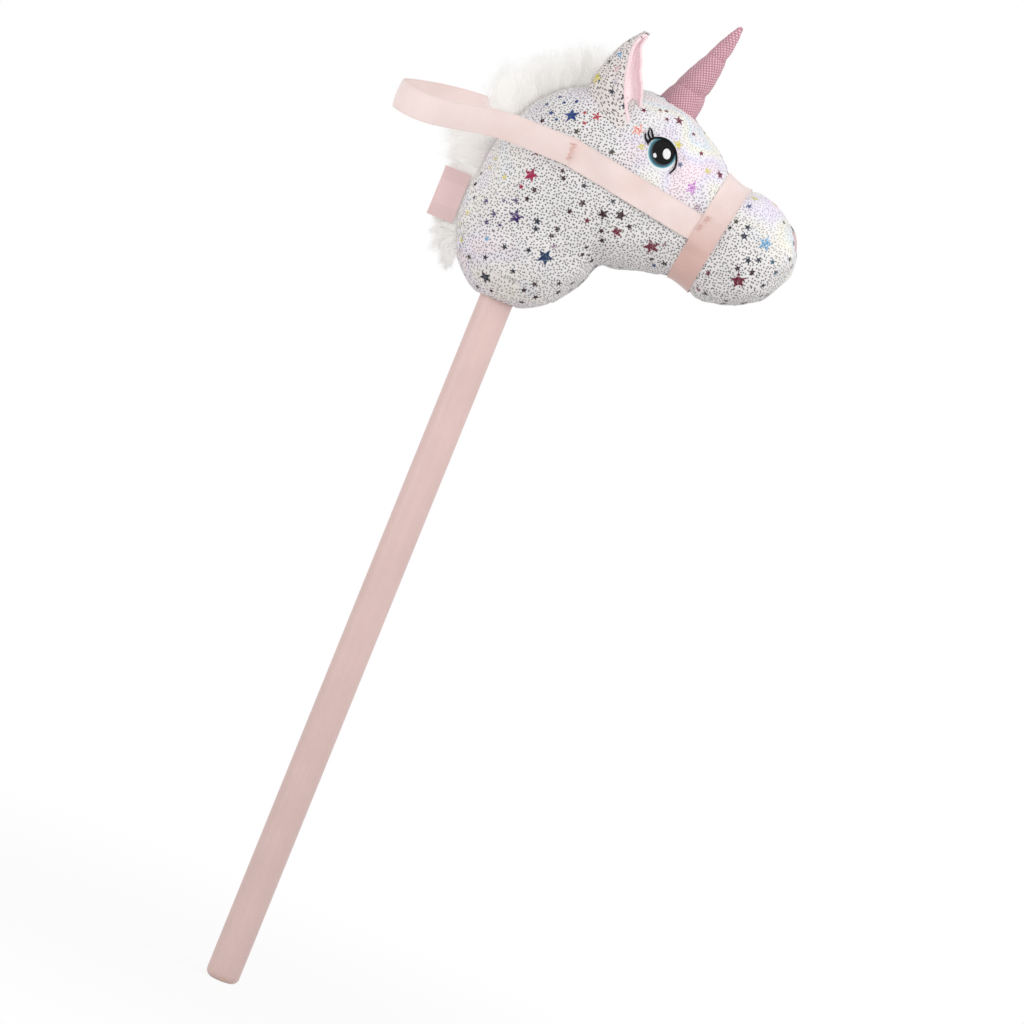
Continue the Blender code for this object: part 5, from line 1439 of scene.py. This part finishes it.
def ribbon_finish(name, colour, warm):
    """Satin: fine ribs across the ribbon, a closer weave at its edges, and clouds of a warmer tone. Two
    numbers are stored on a piece: one paints shade, a darker and dustier pink, where the ribbon turns
    under, and through paints a faint glow in the ribbon's own colour, for light that would come through
    the satin from behind."""
    made, tree, shader = new_finish(name, 0.42, Sheen_Weight=0.2, Sheen_Roughness=0.35,
                                    Emission_Strength=0.15)
    # Painted light: a faint glow in the ribbon's own colour where through is high.
    tree.links.new(mix_colours(tree, stored(tree, "through"), (0, 0, 0, 1), light(*colour)),
                   shader.inputs["Emission Color"])
    split = add(tree, "SeparateXYZ", {0: uv_place(tree)}).outputs
    ribs = math_node(tree, "SINE", times(tree, split["X"], 2 * math.pi / RIB_PITCH))
    edge_ = step_between(tree, math_node(tree, "ABSOLUTE", split["Y"]), RIBBON / 2 - 0.0016,
                         RIBBON / 2 - 0.0010)
    clouds = cloudy(tree, object_place(tree), 38.0, 0.05, light(*colour))
    warmth = times(tree, step_between(tree, clouds["Cloud"], 0.45, 0.75), 0.6)
    tone = mix_colours(tree, warmth, clouds["Color"], light(*warm))
    tone = mix_colours(tree, times(tree, edge_, 0.35), tone, light(*[c * 0.93 for c in colour]))
    # Painted shade: where the ribbon turns under, its colour turns to a darker, dustier pink.
    tree.links.new(mix_colours(tree, stored(tree, "painted_under_shade"), tone, light(212, 176, 168)),
                   shader.inputs["Base Color"])
    height = math_node(tree, "ADD", times(tree, ribs, 0.5), times(tree, edge_, 1.5))
    emboss(tree, shader, height, 0.00005, 0.6)
    return made


satin = ribbon_finish("pink_satin", (234, 215, 211), (234, 207, 199))
label_satin = ribbon_finish("label_satin", (228, 198, 197), (218, 184, 182))

# %% [markdown]
# ## Cheek straps and noseband
# Each cheek strap lies flat on the head from the tack to the noseband. Its places are found by
# looking at the head from the side. The noseband is a closed ring on the skin, which climbs over the
# ends of the straps.

# %% Cheek straps
TACK = np.array([0.0124, NECK_BASE + 0.1174])
STRAP_DROP = math.radians(8.9)
strap_way = np.array([math.cos(STRAP_DROP), -math.sin(STRAP_DROP)])
strap_across = np.array([-strap_way[1], strap_way[0]])
band_row = through(STATIONS, BAND_STATION)
band_crest, band_under = band_row[:2], band_row[2:4]
to_band = np.linalg.solve(np.column_stack([strap_way, band_crest - band_under]), band_crest - TACK)[0]
strap_end = to_band - RIBBON / 2 + 0.0095
STRAP_START, STRAP_BOW = 0.006, 0.0006  # how far the strap reaches behind the tack, and how it bows
along_strap, across_strap = np.meshgrid(np.linspace(-STRAP_START, strap_end, 101),
                                        np.linspace(-0.5, 0.5, 15) * RIBBON, indexing="ij")
side_xz = TACK + along_strap[..., None] * strap_way + across_strap[..., None] * strap_across
aims = np.stack([side_xz[..., 0], 0 * along_strap - 1, side_xz[..., 1]], -1)
strap_points, strap_normals, _, _ = on_head(aims, (0, 1, 0))
strap_points, strap_normals = strap_points.reshape(aims.shape), strap_normals.reshape(aims.shape)
bow = STRAP_BOW * np.sin(along_strap * 62) * (across_strap / RIBBON) * 2
strap_points = strap_points + strap_normals * (LAY + bow + 0.0004)[..., None]
LUMPS_LIFT = 0.0005  # the left side has lumps of its own, and its strap passes over them
over_lumps = LUMPS_LIFT * eased(along_strap / 0.02 - 1.2) * eased((strap_end - along_strap) / 0.02)
for side, word in SIDES:
    inner = mirrored(strap_points + strap_normals * over_lumps[..., None] * (side < 0), side)
    outer = inner + mirrored(strap_normals, side) * RIBBON_THICK
    strap = shell_piece(f"cheek_ribbon_{word}", outer, inner, satin, u=along_strap, v=across_strap,
                        slot="pink_ribbon")
    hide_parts(f"cheek_strap_{word}")
print("cheek ribbon", round(float(strap_end + STRAP_START), 4), "m long")

# %% Noseband
band_turn = np.linspace(-1, 1, 261)
band_side = np.linspace(-1, 1, 13)
station_length = np.linalg.norm(skin_partials(BAND_STATION + 0 * band_turn, band_turn)[0], axis=-1)
band_at = BAND_STATION + band_side[None] * (RIBBON / 2 / station_length)[:, None]
band_share = band_turn[:, None] + 0 * band_at
flat_head = even_skin(band_at, band_share)
meeting_x, meeting_z = TACK + strap_way * to_band
strap_level = meeting_z - (flat_head[..., 0] - meeting_x) * math.tan(STRAP_DROP)
off_strap = np.abs(flat_head[..., 2] - strap_level) - RIBBON / 2
band_normal = skin_normal(band_at, band_share)
climb = eased(1 - (off_strap - FIT) / 0.008) * (np.abs(band_normal[..., 1]) > 0.3)
band_lift = LAY + 0.0003 + climb * (RIBBON_THICK + 0.0007)
band_inner = head(band_at, band_share, band_lift, seams=False)
band_length = band_share * half_girth(band_at)
band_outer = band_inner + band_normal * RIBBON_THICK
keep = slice(0, len(band_turn) - 1)  # the last place is the first again
band_height = band_inner[keep][..., 2]
# The noseband gets painted shade on its lower part and a painted glow on its upper part.
noseband = shell_piece("noseband_ribbon", band_outer[keep], band_inner[keep], satin,
                       u=band_length[keep], v=band_side * RIBBON / 2 + 0 * band_length[keep],
                       values={"painted_under_shade": np.clip((0.664 - band_height) / 0.050, 0, 1),
                               "through": 0.5 * eased((band_height - 0.655) / 0.03)}, slot="pink_ribbon")
noseband.visible_shadow = False
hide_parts("noseband")

# %% [markdown]
# ## Rein
# The rein is a loose loop of the same ribbon. It leaves one tack, passes behind the mane and comes
# back to the other. It swings on the tacks with the body called rein. Its middle line is straight
# beside the neck and turns in a half circle behind it. The right side sags and the left side arches.

# %% Rein loop
LOOP_REACH, LOOP_BEND, RIGHT_SAG, LEFT_RISE, LEFT_SAG = 0.1339, 0.045, 0.0113, 0.0070, 0.0003
REIN_WAVE, REIN_CUP, TACK_REACH = 0.0012, 0.0008, 0.0135
near_tack = np.hypot(strap_points[..., 0] - TACK[0], strap_points[..., 2] - TACK[1]) < TACK_REACH
span = float(np.abs(strap_points[near_tack][:, 1]).max() + RIBBON_THICK + 0.0006)
end_x = TACK[0] - LOOP_REACH
straight = np.linspace(TACK[0] + 0.0022, end_x + LOOP_BEND, 60)[:-1]  # x along either straight side
bend = np.linspace(0, math.pi, 81)
loop_x = np.concatenate([straight, end_x + LOOP_BEND - LOOP_BEND * np.sin(bend) ** 0.9, straight[::-1]])
loop_y = np.concatenate([0 * straight - span, -span * np.cos(bend), 0 * straight + span])
far_back = np.clip((TACK[0] - loop_x) / LOOP_REACH, 0, 1)
loop_right = -RIGHT_SAG * eased((far_back - 0.3) / 0.6)
loop_left = LEFT_RISE * np.sin(math.pi * far_back**0.8) - LEFT_SAG * far_back**3
loop_z = TACK[1] + loop_right + (loop_left - loop_right) * (1 + loop_y / span) / 2
loop_y = loop_y + np.sign(loop_y) * REIN_WAVE * np.sin(far_back * 9) * eased(far_back * 3)
loop_path = np.stack([loop_x, loop_y, loop_z], -1)
loop_way = np.gradient(loop_path, axis=0)
loop_face = unit(np.stack([loop_way[:, 1], -loop_way[:, 0], 0 * loop_x], -1))
loop_face *= -1 if loop_face[0, 1] > 0 else 1
loop_length = run_length(loop_path)
loop_across = np.linspace(-0.5, 0.5, 11) * RIBBON
cup = REIN_CUP * (1 - (2 * loop_across / RIBBON) ** 2)
loop_inner = loop_path[:, None] + loop_across[None, :, None] * (0, 0, 1) + loop_face[:, None] * cup[:, None]
lit_side = eased(loop_path[:, 1:2] / span * 0.7 + 0.5)  # a painted glow, for light through the satin, on the left side and behind
lit_behind = 0.8 * eased(far_back[:, None] * 3 - 1.9)
rein = shell_piece("rein_ribbon", loop_inner + loop_face[:, None] * RIBBON_THICK, loop_inner, satin,
                   u=loop_length[:, None] + 0 * loop_across, v=0 * loop_length[:, None] + loop_across,
                   values={"through": np.maximum(lit_side, lit_behind) + 0 * loop_across},
                   body="rein", slot="pink_ribbon")
rein.visible_shadow = False  # light passes through thin satin
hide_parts("rein_loop")
print("rein", round(float(loop_length[-1]), 3), "m long, span", round(span, 4))

# %% [markdown]
# ## Stitches
# Zigzag stitches hold the rein to the cheek and the straps to the noseband. A stitch is a short tube
# that dips into the ribbon at both ends and bows out in its middle.

# %% Stitches
STITCH_BOW, STITCH_DIP, STITCH_RADIUS = 0.0004, 0.0002, 0.00026


def stitches(name, corners, outward, **more):
    """Tubes from each corner of some zigzags to the next. Between them each rises along outward by
    bow sin(pi s), less the dip of its ends."""
    starts, ends = (np.vstack([line[part] for line in corners]) for part in (slice(-1), slice(1, None)))
    outward = np.repeat(outward, [len(line) - 1 for line in corners], axis=0)
    s = np.linspace(0, 1, 7)
    path = starts[:, None] + (ends - starts)[:, None] * s[None, :, None]
    path = path + outward[:, None] * (STITCH_BOW * np.sin(math.pi * s) - STITCH_DIP)[None, :, None]
    size = STITCH_RADIUS * (0.55 + 0.45 * np.sin(math.pi * s))
    rings_ = tube_grid(path, size[None, :], 6)
    count, steps_, sides = rings_.shape[:3]
    quads, _, _ = grid_quads(steps_, sides, closed=True)
    points = np.concatenate([rings_.reshape(count, -1, 3), path[:, :1], path[:, -1:]], axis=1)
    faces = [copied(some, count, points.shape[1]) for some in (quads, cap_faces(steps_, sides))]
    return make_piece(name, points, faces, salmon_thread, slot="rose_thread", **more)


def zigzag(start, end, width, turns, out):
    """Corner points of a zigzag about a line, each side of it in turn."""
    s = np.linspace(0, 1, turns + 1)
    side_ = np.cross(out, unit(end - start)) * width / 2
    return start + (end - start) * s[:, None] + side_ * np.where(np.arange(turns + 1) % 2, 1, -1)[:, None]


TACK_LINES = (  # from x and z to x and z about the tack, width, turns: two rows over each other
    ((0, -0.0062), (0.0010, 0.0066), 0.0030, 10), ((-0.0010, 0.0060), (0.0014, -0.0056), 0.0042, 6))
face_y = -(span + RIBBON_THICK + 0.0008)
out = np.array([0.0, -1.0, 0.0])
corners = [zigzag(*(np.array([TACK[0] + x, face_y, TACK[1] + z]) for x, z in (start, end)), width, turns, out)
           for start, end, width, turns in TACK_LINES]
corners = [np.vstack(corners)]  # one thread goes on from the first row to the second
for side, word in SIDES:
    tack_ = stitches(f"tack_stitches_{word}", [mirrored(line, side) for line in corners],
                     [mirrored(out, side)])
    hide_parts(f"rein_tack_{word}")

BAND_MARK = (0.1189, 0.6366)
BAND_HEIGHT = LAY + 0.0003 + 2 * RIBBON_THICK + 0.0011
corners, outs = [], []
for dx, dz, half in ((0.0012, 0.0040, 0.0026), (-0.0016, -0.0034, 0.0030)):
    spot, normal, _, _ = on_head([(BAND_MARK[0] + dx, -1, BAND_MARK[1] + dz)], (0, 1, 0))
    middle = spot[0] + normal[0] * BAND_HEIGHT
    up_ = unit(np.cross(normal[0], np.cross(np.array([0.35, 0, 1.0]), normal[0])))
    corners.append(zigzag(middle - up_ * half, middle + up_ * half, 0.0040, 4, normal[0]))
    outs.append(normal[0])
for side, word in SIDES:
    stitches(f"band_stitches_{word}", [mirrored(line, side) for line in corners],
             [mirrored(way, side) for way in outs])

# %% [markdown]
# ## Embroidery
# The eyes and nostrils are satin stitch: patches of thread that stand a little proud of the cloth. A
# patch is a grid in its own plane, an oval or a curved stroke, that is dropped onto the head and
# domed. An oval comes from a square by x sqrt(1 - y^2/2), y sqrt(1 - x^2/2), which needs no pole.

# %% Embroidery helpers
THREAD_PITCH = 0.0004
PATCH_START, PATCH_SINK = 0.03, 0.0002  # how far off the head a patch is laid out, and how deep it is sewn


def thread_lines(tree, shader):
    """Parallel threads across the patch, as relief. Gives their wave."""
    across = add(tree, "SeparateXYZ", {0: uv_place(tree)}).outputs["X"]
    lines = math_node(tree, "SINE", times(tree, across, 2 * math.pi / THREAD_PITCH))
    emboss(tree, shader, lines, 0.00006, 0.7)
    return lines


def satin_stitch(name, colour, roughness=0.45, **constants):
    """Parallel threads across the patch, with a slight change of tone from thread to thread."""
    made, tree, shader = new_finish(name, roughness, **constants)
    shade = math_node(tree, "MULTIPLY_ADD", thread_lines(tree, shader), 0.12)
    tree.links.new(mix_colours(tree, shade, light(*colour), light(*[c * 0.85 + 6 for c in colour])),
                   shader.inputs["Base Color"])
    return made


def iris_stitch():
    """Threads whose colour goes from dark teal inside to light blue at the rim."""
    made, tree, shader = new_finish("iris_thread", 0.45, Sheen_Weight=0.1)
    stops = ((0.78, (8, 38, 50)), (1.0, (150, 206, 216)), (0.86, (22, 84, 102)), (0.94, (72, 142, 160)))
    tree.links.new(colour_ramp(tree, stored(tree, "from_middle"), stops), shader.inputs["Base Color"])
    thread_lines(tree, shader)
    return made


black_stitch = satin_stitch("black_stitch", (12, 12, 14), roughness=0.7, Specular_IOR_Level=0.16)
white_stitch = satin_stitch("white_stitch", (253, 254, 255), Sheen_Weight=0.1)
rose_stitch = satin_stitch("rose_stitch", (218, 182, 184), Sheen_Weight=0.1)
iris = iris_stitch()


def patch_place(aim, outward_):
    """A plane's middle and its two directions: u is level and towards the nose, v is upwards."""
    outward_ = unit(np.array(outward_, float))
    u = unit(np.cross((0, 0, 1), outward_))
    return np.array(aim, float), outward_, u, np.cross(outward_, u)


def patch(name, where, u, v, low, high, dome, material, side, **more):
    """A grid of plane places dropped onto the head. Its outer face stands at low to high by its dome,
    a number from 0 at the edge to 1 in the middle."""
    aim, outward_, one, two = where
    start = aim + outward_ * PATCH_START + u[..., None] * one + v[..., None] * two
    point, normal, _, _ = on_head(start, -outward_)
    point, normal = point.reshape(start.shape), normal.reshape(start.shape)
    outer_ = mirrored(point + normal * (low + (high - low) * dome)[..., None], side)
    inner_ = mirrored(point - normal * PATCH_SINK, side)
    return shell_piece(name, outer_, inner_, material, u=u, v=v, **more)


def oval_grid(centre, half, tilt):
    """An oval as a bent square, its distance from the middle, and a dome that is steep at the rim."""
    s = np.linspace(-1, 1, 33)
    x, y = np.meshgrid(s, s, indexing="ij")
    a, b = x * np.sqrt(1 - y * y / 2), y * np.sqrt(1 - x * x / 2)
    away = np.hypot(a, b)
    u = centre[0] + half[0] * a * math.cos(tilt) + half[1] * b * math.sin(tilt)
    v = centre[1] - half[0] * a * math.sin(tilt) + half[1] * b * math.cos(tilt)
    return u, v, away, 1 - np.clip(away, 0, 1) ** 6


def stroke_grid(points_, widths, steps_):
    """A stroke along a smooth line through points, as wide as widths say, domed across it. The points
    and the widths are in millimetres."""
    s = np.linspace(0, len(points_) - 1, steps_)
    line = through(np.array(points_) / 1000, s)
    width = np.maximum(through(np.array(widths) / 1000, s), 0.00008)
    way = unit(np.gradient(line, axis=0))
    side_ = np.stack([-way[:, 1], way[:, 0]], -1)
    c = np.linspace(-1, 1, 9)
    grid_ = line[:, None] + side_[:, None] * (c * width / 2)[..., None]
    return grid_[..., 0], grid_[..., 1], np.sqrt(1 - c**2 * 0.98)[None, :] + 0 * s[:, None]


# %% Eyes, in millimetres from the middle of the eye
LID = ((-11.2, 1.2), (-11.4, 2.8), (-10.7, 5.3), (-9.1, 7.2), (-6.6, 8.7), (-3.8, 9.6), (-0.8, 9.9),
       (2.6, 9.3), (5.6, 7.7), (8.3, 5.6), (10.3, 2.9), (11.7, 0.1), (12.6, -2.9), (12.9, -5.8),
       (12.3, -8.4), (11.0, -11.0), (10.6, -11.5))
LID_WIDTH = (0.7, 1.45, 1.65, 1.65, 1.65, 1.8, 1.8, 1.8, 1.8, 1.8, 1.65, 1.5, 1.4, 1.3, 1.3, 1.1, 0.7)
LASHES = (((-11.3, 2.4), (-14.0, 4.9), (-15.3, 7.2), (-15.7, 9.3)),
          ((-10.5, 5.7), (-12.6, 7.7), (-13.8, 10.2), (-14.1, 13.7)),
          ((-9.2, 7.5), (-10.7, 9.8), (-12.0, 12.1), (-14.0, 13.8)))
LASH_WIDTH = (1.6, 1.45, 1.2, 0.25)
EYE_OVALS = (  # name, middle, half sizes, tilt in degrees, stitch, low and high face
    ("eye_white", (0.65, -0.8), (10.9, 12.2), 22, white_stitch, 0.00025, 0.0006),
    ("eye_iris", (0.5, 0.1), (10.2, 10.9), 22, iris, 0.0005, 0.0010),
    ("eye_pupil", (1.1, 1.0), (8.3, 8.9), 22, black_stitch, 0.0009, 0.0014),
    ("eye_glint", (3.7, 0.4), (2.95, 3.8), 24, white_stitch, 0.0013, 0.0018),
    ("eye_spark", (-3.8, -3.9), (1.22, 1.65), 36, white_stitch, 0.0013, 0.0017))
eye_at = patch_place((0.0727, -0.05, 0.6740), (0.12, -1, 0.30))
for side, word in SIDES:
    for part, centre, half, tilt, stitch, low, high in EYE_OVALS:
        u, v, away, dome = oval_grid(np.array(centre) / 1000, np.array(half) / 1000, -math.radians(tilt))
        made = patch(f"{part}_{word}", eye_at, u, v, low, high, dome, stitch, side,
                     values={"from_middle": away}, slot="black_thread")
        if part == "eye_pupil":
            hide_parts(f"eye_{word}")
    u, v, dome = stroke_grid(LID, LID_WIDTH, 120)
    patch(f"eye_lid_{word}", eye_at, u, v, 0.0004, 0.0019, dome, black_stitch, side, slot="black_thread")
    for number, lash in enumerate(LASHES):
        u, v, dome = stroke_grid(lash, LASH_WIDTH, 36)
        patch(f"eye_lash_{number + 1}_{word}", eye_at, u, v, 0.0004, 0.0012, dome, black_stitch, side,
              slot="black_thread")

# %% Nostrils, in millimetres from the middle of the nostril
NOSTRIL = ((-0.6, -6.9), (1.6, -3.4), (2.2, 0.4), (1.2, 4.2), (-1.2, 7.2))
NOSTRIL_WIDTH = (0.4, 1.9, 2.4, 1.9, 0.4)
nose_at = patch_place((0.1830, -0.0125, NECK_BASE + 0.1180), (1, -0.45, 0.35))
for side, word in SIDES:
    u, v, dome = stroke_grid(NOSTRIL, NOSTRIL_WIDTH, 60)
    made = patch(f"nostril_stitch_{word}", nose_at, u, v, 0.0003, 0.0010, dome, rose_stitch, side,
                 slot="rose_thread")
    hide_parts(f"nostril_{word}")

# %% [markdown]
# ## Label
# A short piece of ribbon is folded in half and sewn into the seam behind the neck. It is bare. The
# two layers lie close, part a little between the fold and the seam, and curl slightly.

# %% Label
LABEL_THICK, LABEL_PARTING, LABEL_BULGE, LABEL_CURL, LABEL_WAVE = 0.00032, 0.00042, 0.0005, 0.0022, 0.0006
label_low, label_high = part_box("seam_label")
fold_reach = label_high.x - label_low.x
seam_x, label_y = label_high.x, (label_low.y + label_high.y) / 2
run = np.linspace(-1, 1, 61)  # from one end, round the fold, to the other end
out_x = seam_x - fold_reach * (1 - np.abs(run) ** 2.4)
part_y = np.sign(run) * LABEL_PARTING * np.clip(np.abs(run) * 6, 0, 1) ** 0.5
bulge = LABEL_BULGE * np.sin(math.pi * np.abs(run)) * np.sign(run)
heights = np.linspace(0, 1, 21)
curl = -LABEL_CURL * ((seam_x - out_x) / fold_reach) ** 2
lean = (label_y + part_y + bulge + curl)[:, None] + LABEL_WAVE * np.sin(3.2 * heights)[None, :]
label_width = label_high.z - label_low.z
label_mid = np.stack([out_x[:, None] + 0 * heights, lean,
                      label_low.z + label_width * heights[None, :] + 0 * run[:, None]], -1)
label_face = unit(np.cross(np.gradient(label_mid, axis=0), (0, 0, 1.0))) * LABEL_THICK / 2
label_u = run_length(label_mid[:, 0])
label = shell_piece("label_ribbon", label_mid + label_face, label_mid - label_face, label_satin,
                    u=label_u[:, None] + 0 * heights,
                    v=(heights[None, :] - 0.5) * label_width + 0 * run[:, None], body="label",
                    slot="label_ribbon")
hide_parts("seam_label")

# %% [markdown]
# ## Mane
# The mane is long white pile. Each hair is a thin three-sided tube that narrows to a point: it leaves
# the strip along the skin's direction, leans out beside the seam, and bends a little. Hairs gather
# in tufts, so each one is drawn towards the tip of its nearest tuft.

# %% Mane finish
def fur_finish():
    """White pile: each hair has its own tone, and is painted a little darker towards its root, as shade
    deep in the pile. The light that goes from hair to hair inside real pile is a faint glow here."""
    made, tree, shader = new_finish("white_pile", 0.6, Sheen_Weight=0.3, Emission_Color=(1, 0.99, 0.97, 1),
                                    Emission_Strength=0.11)
    tree.links.new(mix_colours(tree, stored(tree, "tone"), light(238, 235, 229), light(254, 253, 251)),
                   shader.inputs["Base Color"])
    return made


fur = fur_finish()
FUR_AT = (0, 0.2, 0.5, 1.0, 2.0, 3.0, 3.35, 3.6, 3.9, 4.3, 5.0, 6.0, 6.5)  # stations
FUR_LENGTH = (0.015, 0.0195, 0.019, 0.017, 0.018, 0.024, 0.042, 0.048, 0.040, 0.036, 0.033, 0.031, 0.028)
FUR_SWEEP = (-5.0, -1.6, -0.3, -0.1, -0.1, -0.4, -0.45, -0.45, 0.45, 0.65, 0.36, -0.02, -0.1)  # to the ears
HAIR_STEPS, HAIR_SIDES, HAIR_RADIUS = 7, 3, 0.00023
HAIRS, TUFTS, TUFT_SEED = 4600, 150, 77  # hairs in a piece, and the tufts that all pieces share
HAIR_REACH = 0.985  # how far across the strip the hairs are rooted
LABEL_FROM_X, LABEL_Z, LABEL_REACH = -0.040, 0.588, 0.024  # behind this x, hairs near the label's height
LABEL_CLEAR = 0.0022  # stay this far behind its outer face


def hairs(name, count, seed):
    """count hairs on the mane's strip. Root r, direction d and tip draw c give the curve
    r + L (d s + bend s^2) + c s^1.6, where s goes from 0 to 1."""
    rng = np.random.default_rng(seed)
    tuft_rng = np.random.default_rng(TUFT_SEED)

    def start(rng_, n):
        """Roots on the strip: station, place across it, point and skin direction."""
        at = MANE_END * rng_.random(n) * 0.995 + 0.01
        across = np.clip(rng_.uniform(-1, 1, n), -HAIR_REACH, HAIR_REACH)
        share = across * strip_share(at)
        return at, across, head(at, share, -0.0004), skin_normal(at, share)

    def lean(rng_, at, across, normal, wild):
        """The way hairs stand: off the skin, out to the side, swept along it, and a little wild."""
        splay = np.stack([0 * at, -across * 0.75, 0 * at], -1)
        along, _ = skin_partials(at, 0 * at)
        sweep = unit(along) * np.interp(at, FUR_AT, FUR_SWEEP)[:, None]
        return unit(normal + splay + sweep + rng_.normal(0, wild, (len(at), 3)))

    t_at, t_across, t_root, t_normal = start(tuft_rng, TUFTS)
    t_way = lean(tuft_rng, t_at, t_across, t_normal, 0.22)
    t_length = np.interp(t_at, FUR_AT, FUR_LENGTH) * tuft_rng.uniform(0.72, 1.15, TUFTS)
    t_tip = t_root + t_way * t_length[:, None]
    at, across, root, normal = start(rng, count)
    mine = np.argmin(np.linalg.norm(root[:, None] - t_root[None], axis=2), axis=1)
    way = lean(rng, at, across, normal, 0.13)
    length = np.interp(at, FUR_AT, FUR_LENGTH) * rng.uniform(0.6, 1.0, count)
    s = np.linspace(0, 1, HAIR_STEPS)[None, :, None]
    bend_ = rng.normal(0, 0.10, (count, 3)) + (0, 0, -0.06)
    tip_draw = (t_tip[mine] - root - way * length[:, None]) * rng.beta(4, 1.6, (count, 1))
    path = root[:, None] + length[:, None, None] * (way[:, None] * s + bend_[:, None] * s**2)
    path = path + tip_draw[:, None] * s**1.6
    by_label = ((path[..., 0] < LABEL_FROM_X) & (np.abs(path[..., 2] - LABEL_Z) < LABEL_REACH))
    path[..., 1] = np.where(by_label, np.maximum(path[..., 1], label_low.y + LABEL_CLEAR), path[..., 1])
    size = HAIR_RADIUS * (1 - s[0, :, 0]) ** 0.6 * (0.65 + 0.35 * (1 - s[0, :, 0]))
    rings_ = tube_grid(path[:, :-1], size[None, :-1], HAIR_SIDES)
    points = np.concatenate([rings_.reshape(count, -1, 3), path[:, -1:]], axis=1)
    rings, each = HAIR_STEPS - 1, points.shape[1]
    quads, _, _ = grid_quads(rings, HAIR_SIDES, closed=True)
    k = (rings - 1) * HAIR_SIDES + np.arange(HAIR_SIDES)
    tip = np.stack([k, np.roll(k, -1), np.full(HAIR_SIDES, each - 1)], -1)
    tris = np.vstack([tip, [[2, 1, 0]]])  # three to the hair's point, and one that closes its root
    share_up = np.append(np.repeat(np.linspace(0, 1, HAIR_STEPS)[:-1], HAIR_SIDES), 1.0)
    # A random tone for each hair, and painted shade that darkens it towards its root.
    tone = np.clip(0.35 + 0.5 * share_up[None] + rng.normal(0, 0.16, (count, 1)), 0, 1)
    return make_piece(name, points, [copied(quads, count, each), copied(tris, count, each)], fur,
                      values={"tone": tone.ravel()}, slot="white_fur", sharp=180)


for number in range(4):
    lock = hairs(f"mane_pile_{number + 1}", HAIRS, 100 + number)
    lock.visible_shadow = lock.visible_diffuse = False  # light passes through real pile
    if number == 0:
        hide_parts("mane_fur")

# %% [markdown]
# ## Pole and the fixings inside the neck
# The pole's CAD shape is already right: a round dowel with a rounded foot. It only needs its paint, a
# dull pink with faint clouds, a hint of the wood's grain under it, and scuffs round the foot. The
# sleeve is cloth, so it is made again with gathers above and below the tie. The tie and the cap are
# moulded.

# %% Pole paint
def pole_paint():
    """Pink paint: slow clouds, faint streaks of grain, painted shade that darkens it towards the foot, and
    scuffs there.
    """
    made, tree, shader = new_finish("pink_paint", 0.42, Coat_Weight=0.12, Coat_Roughness=0.3)
    where = object_place(tree)
    grain = noise(tree, add(tree, "Mapping", {"Vector": where, "Scale": (1, 1, 0.05)}).outputs[0], 420.0,
                  Detail=3.0)
    tone = cloudy(tree, where, 26.0, 0.06, light(222, 192, 187))["Color"]
    streaks = times(tree, step_between(tree, grain, 0.45, 0.75), 0.16)
    height = add(tree, "SeparateXYZ", {0: where}).outputs["Z"]
    # Painted shade: the paint is darkened by up to a tenth towards the foot.
    streaked_and_shaded = scaled(tree, mix_colours(tree, streaks, tone, light(206, 172, 168)),
                      ranged(tree, height, 0.05, 0.45, 0.90, 1.0))
    worn = times(tree, step_between(tree, height, 0.007, 0.0005),
                 step_between(tree, noise(tree, where, 320.0), 0.5, 0.62))
    tree.links.new(mix_colours(tree, times(tree, worn, 0.6), streaked_and_shaded, light(214, 190, 160)),
                   shader.inputs["Base Color"])
    peel = math_node(tree, "ADD", noise(tree, where, 260.0, Detail=2.0), times(tree, grain, 0.7))
    emboss(tree, shader, peel, 0.00018, 0.5)
    return made


def moulded(name, colour):
    """Moulded plastic with a faint cloud and a fine orange peel."""
    made, tree, shader = new_finish(name, 0.4)
    tone = cloudy(tree, object_place(tree), 120.0, 0.05, light(*colour))
    tree.links.new(tone["Color"], shader.inputs["Base Color"])
    emboss(tree, shader, tone["Cloud"], 0.00008, 0.4)
    return made


def dress(node, material):
    """Puts a finish on a CAD node."""
    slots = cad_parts[node].data.materials
    slots.clear()
    slots.append(material)


white_plastic = moulded("white_plastic", (232, 231, 228))
dress("pole", pole_paint())
dress("pole_top_cap", white_plastic)
dress("sleeve_tie", white_plastic)

# %% Sleeve
PLEATS, PLEAT_HEIGHT, SLEEVE_CLOTH = 18, 0.00045, 0.0008
sleeve_low, sleeve_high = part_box("pole_sleeve")
tie_low, tie_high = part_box("sleeve_tie")
sleeve_z = np.linspace(sleeve_low.z, sleeve_high.z, 61)[:, None]
sleeve_turn = np.linspace(0, 2 * math.pi, 97)
off_tie = np.abs(sleeve_z - (tie_low.z + tie_high.z) / 2)
pleat = PLEAT_HEIGHT * (0.5 + 0.5 * np.cos(PLEATS * sleeve_turn)) * eased((off_tie - 0.003) / 0.006)
inside = POLE_RADIUS + FIT


def sleeve_wall(thick):
    """The sleeve's face at a height over its inside, without the column that closes it."""
    radius = inside + thick + 0 * sleeve_z + 0 * sleeve_turn
    wall = np.stack([radius * np.cos(sleeve_turn), radius * np.sin(sleeve_turn), sleeve_z + 0 * radius], -1)
    return wall[:, :-1]


sleeve = shell_piece("sleeve_cloth", sleeve_wall(SLEEVE_CLOTH + pleat), sleeve_wall(0.0), backing_cloth,
                     closed=True, u=sleeve_turn * inside + 0 * sleeve_z, v=sleeve_z + 0 * sleeve_turn,
                     slot="woven_backing")
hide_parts("pole_sleeve")

# %% Sizes and the end
visual_box = [list(corner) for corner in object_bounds()]
grown = [[round(1000 * (b - a), 1) for a, b in zip(cad_box[k], visual_box[k])] for k in (0, 1)]
print("box grew by, in mm:", grown)
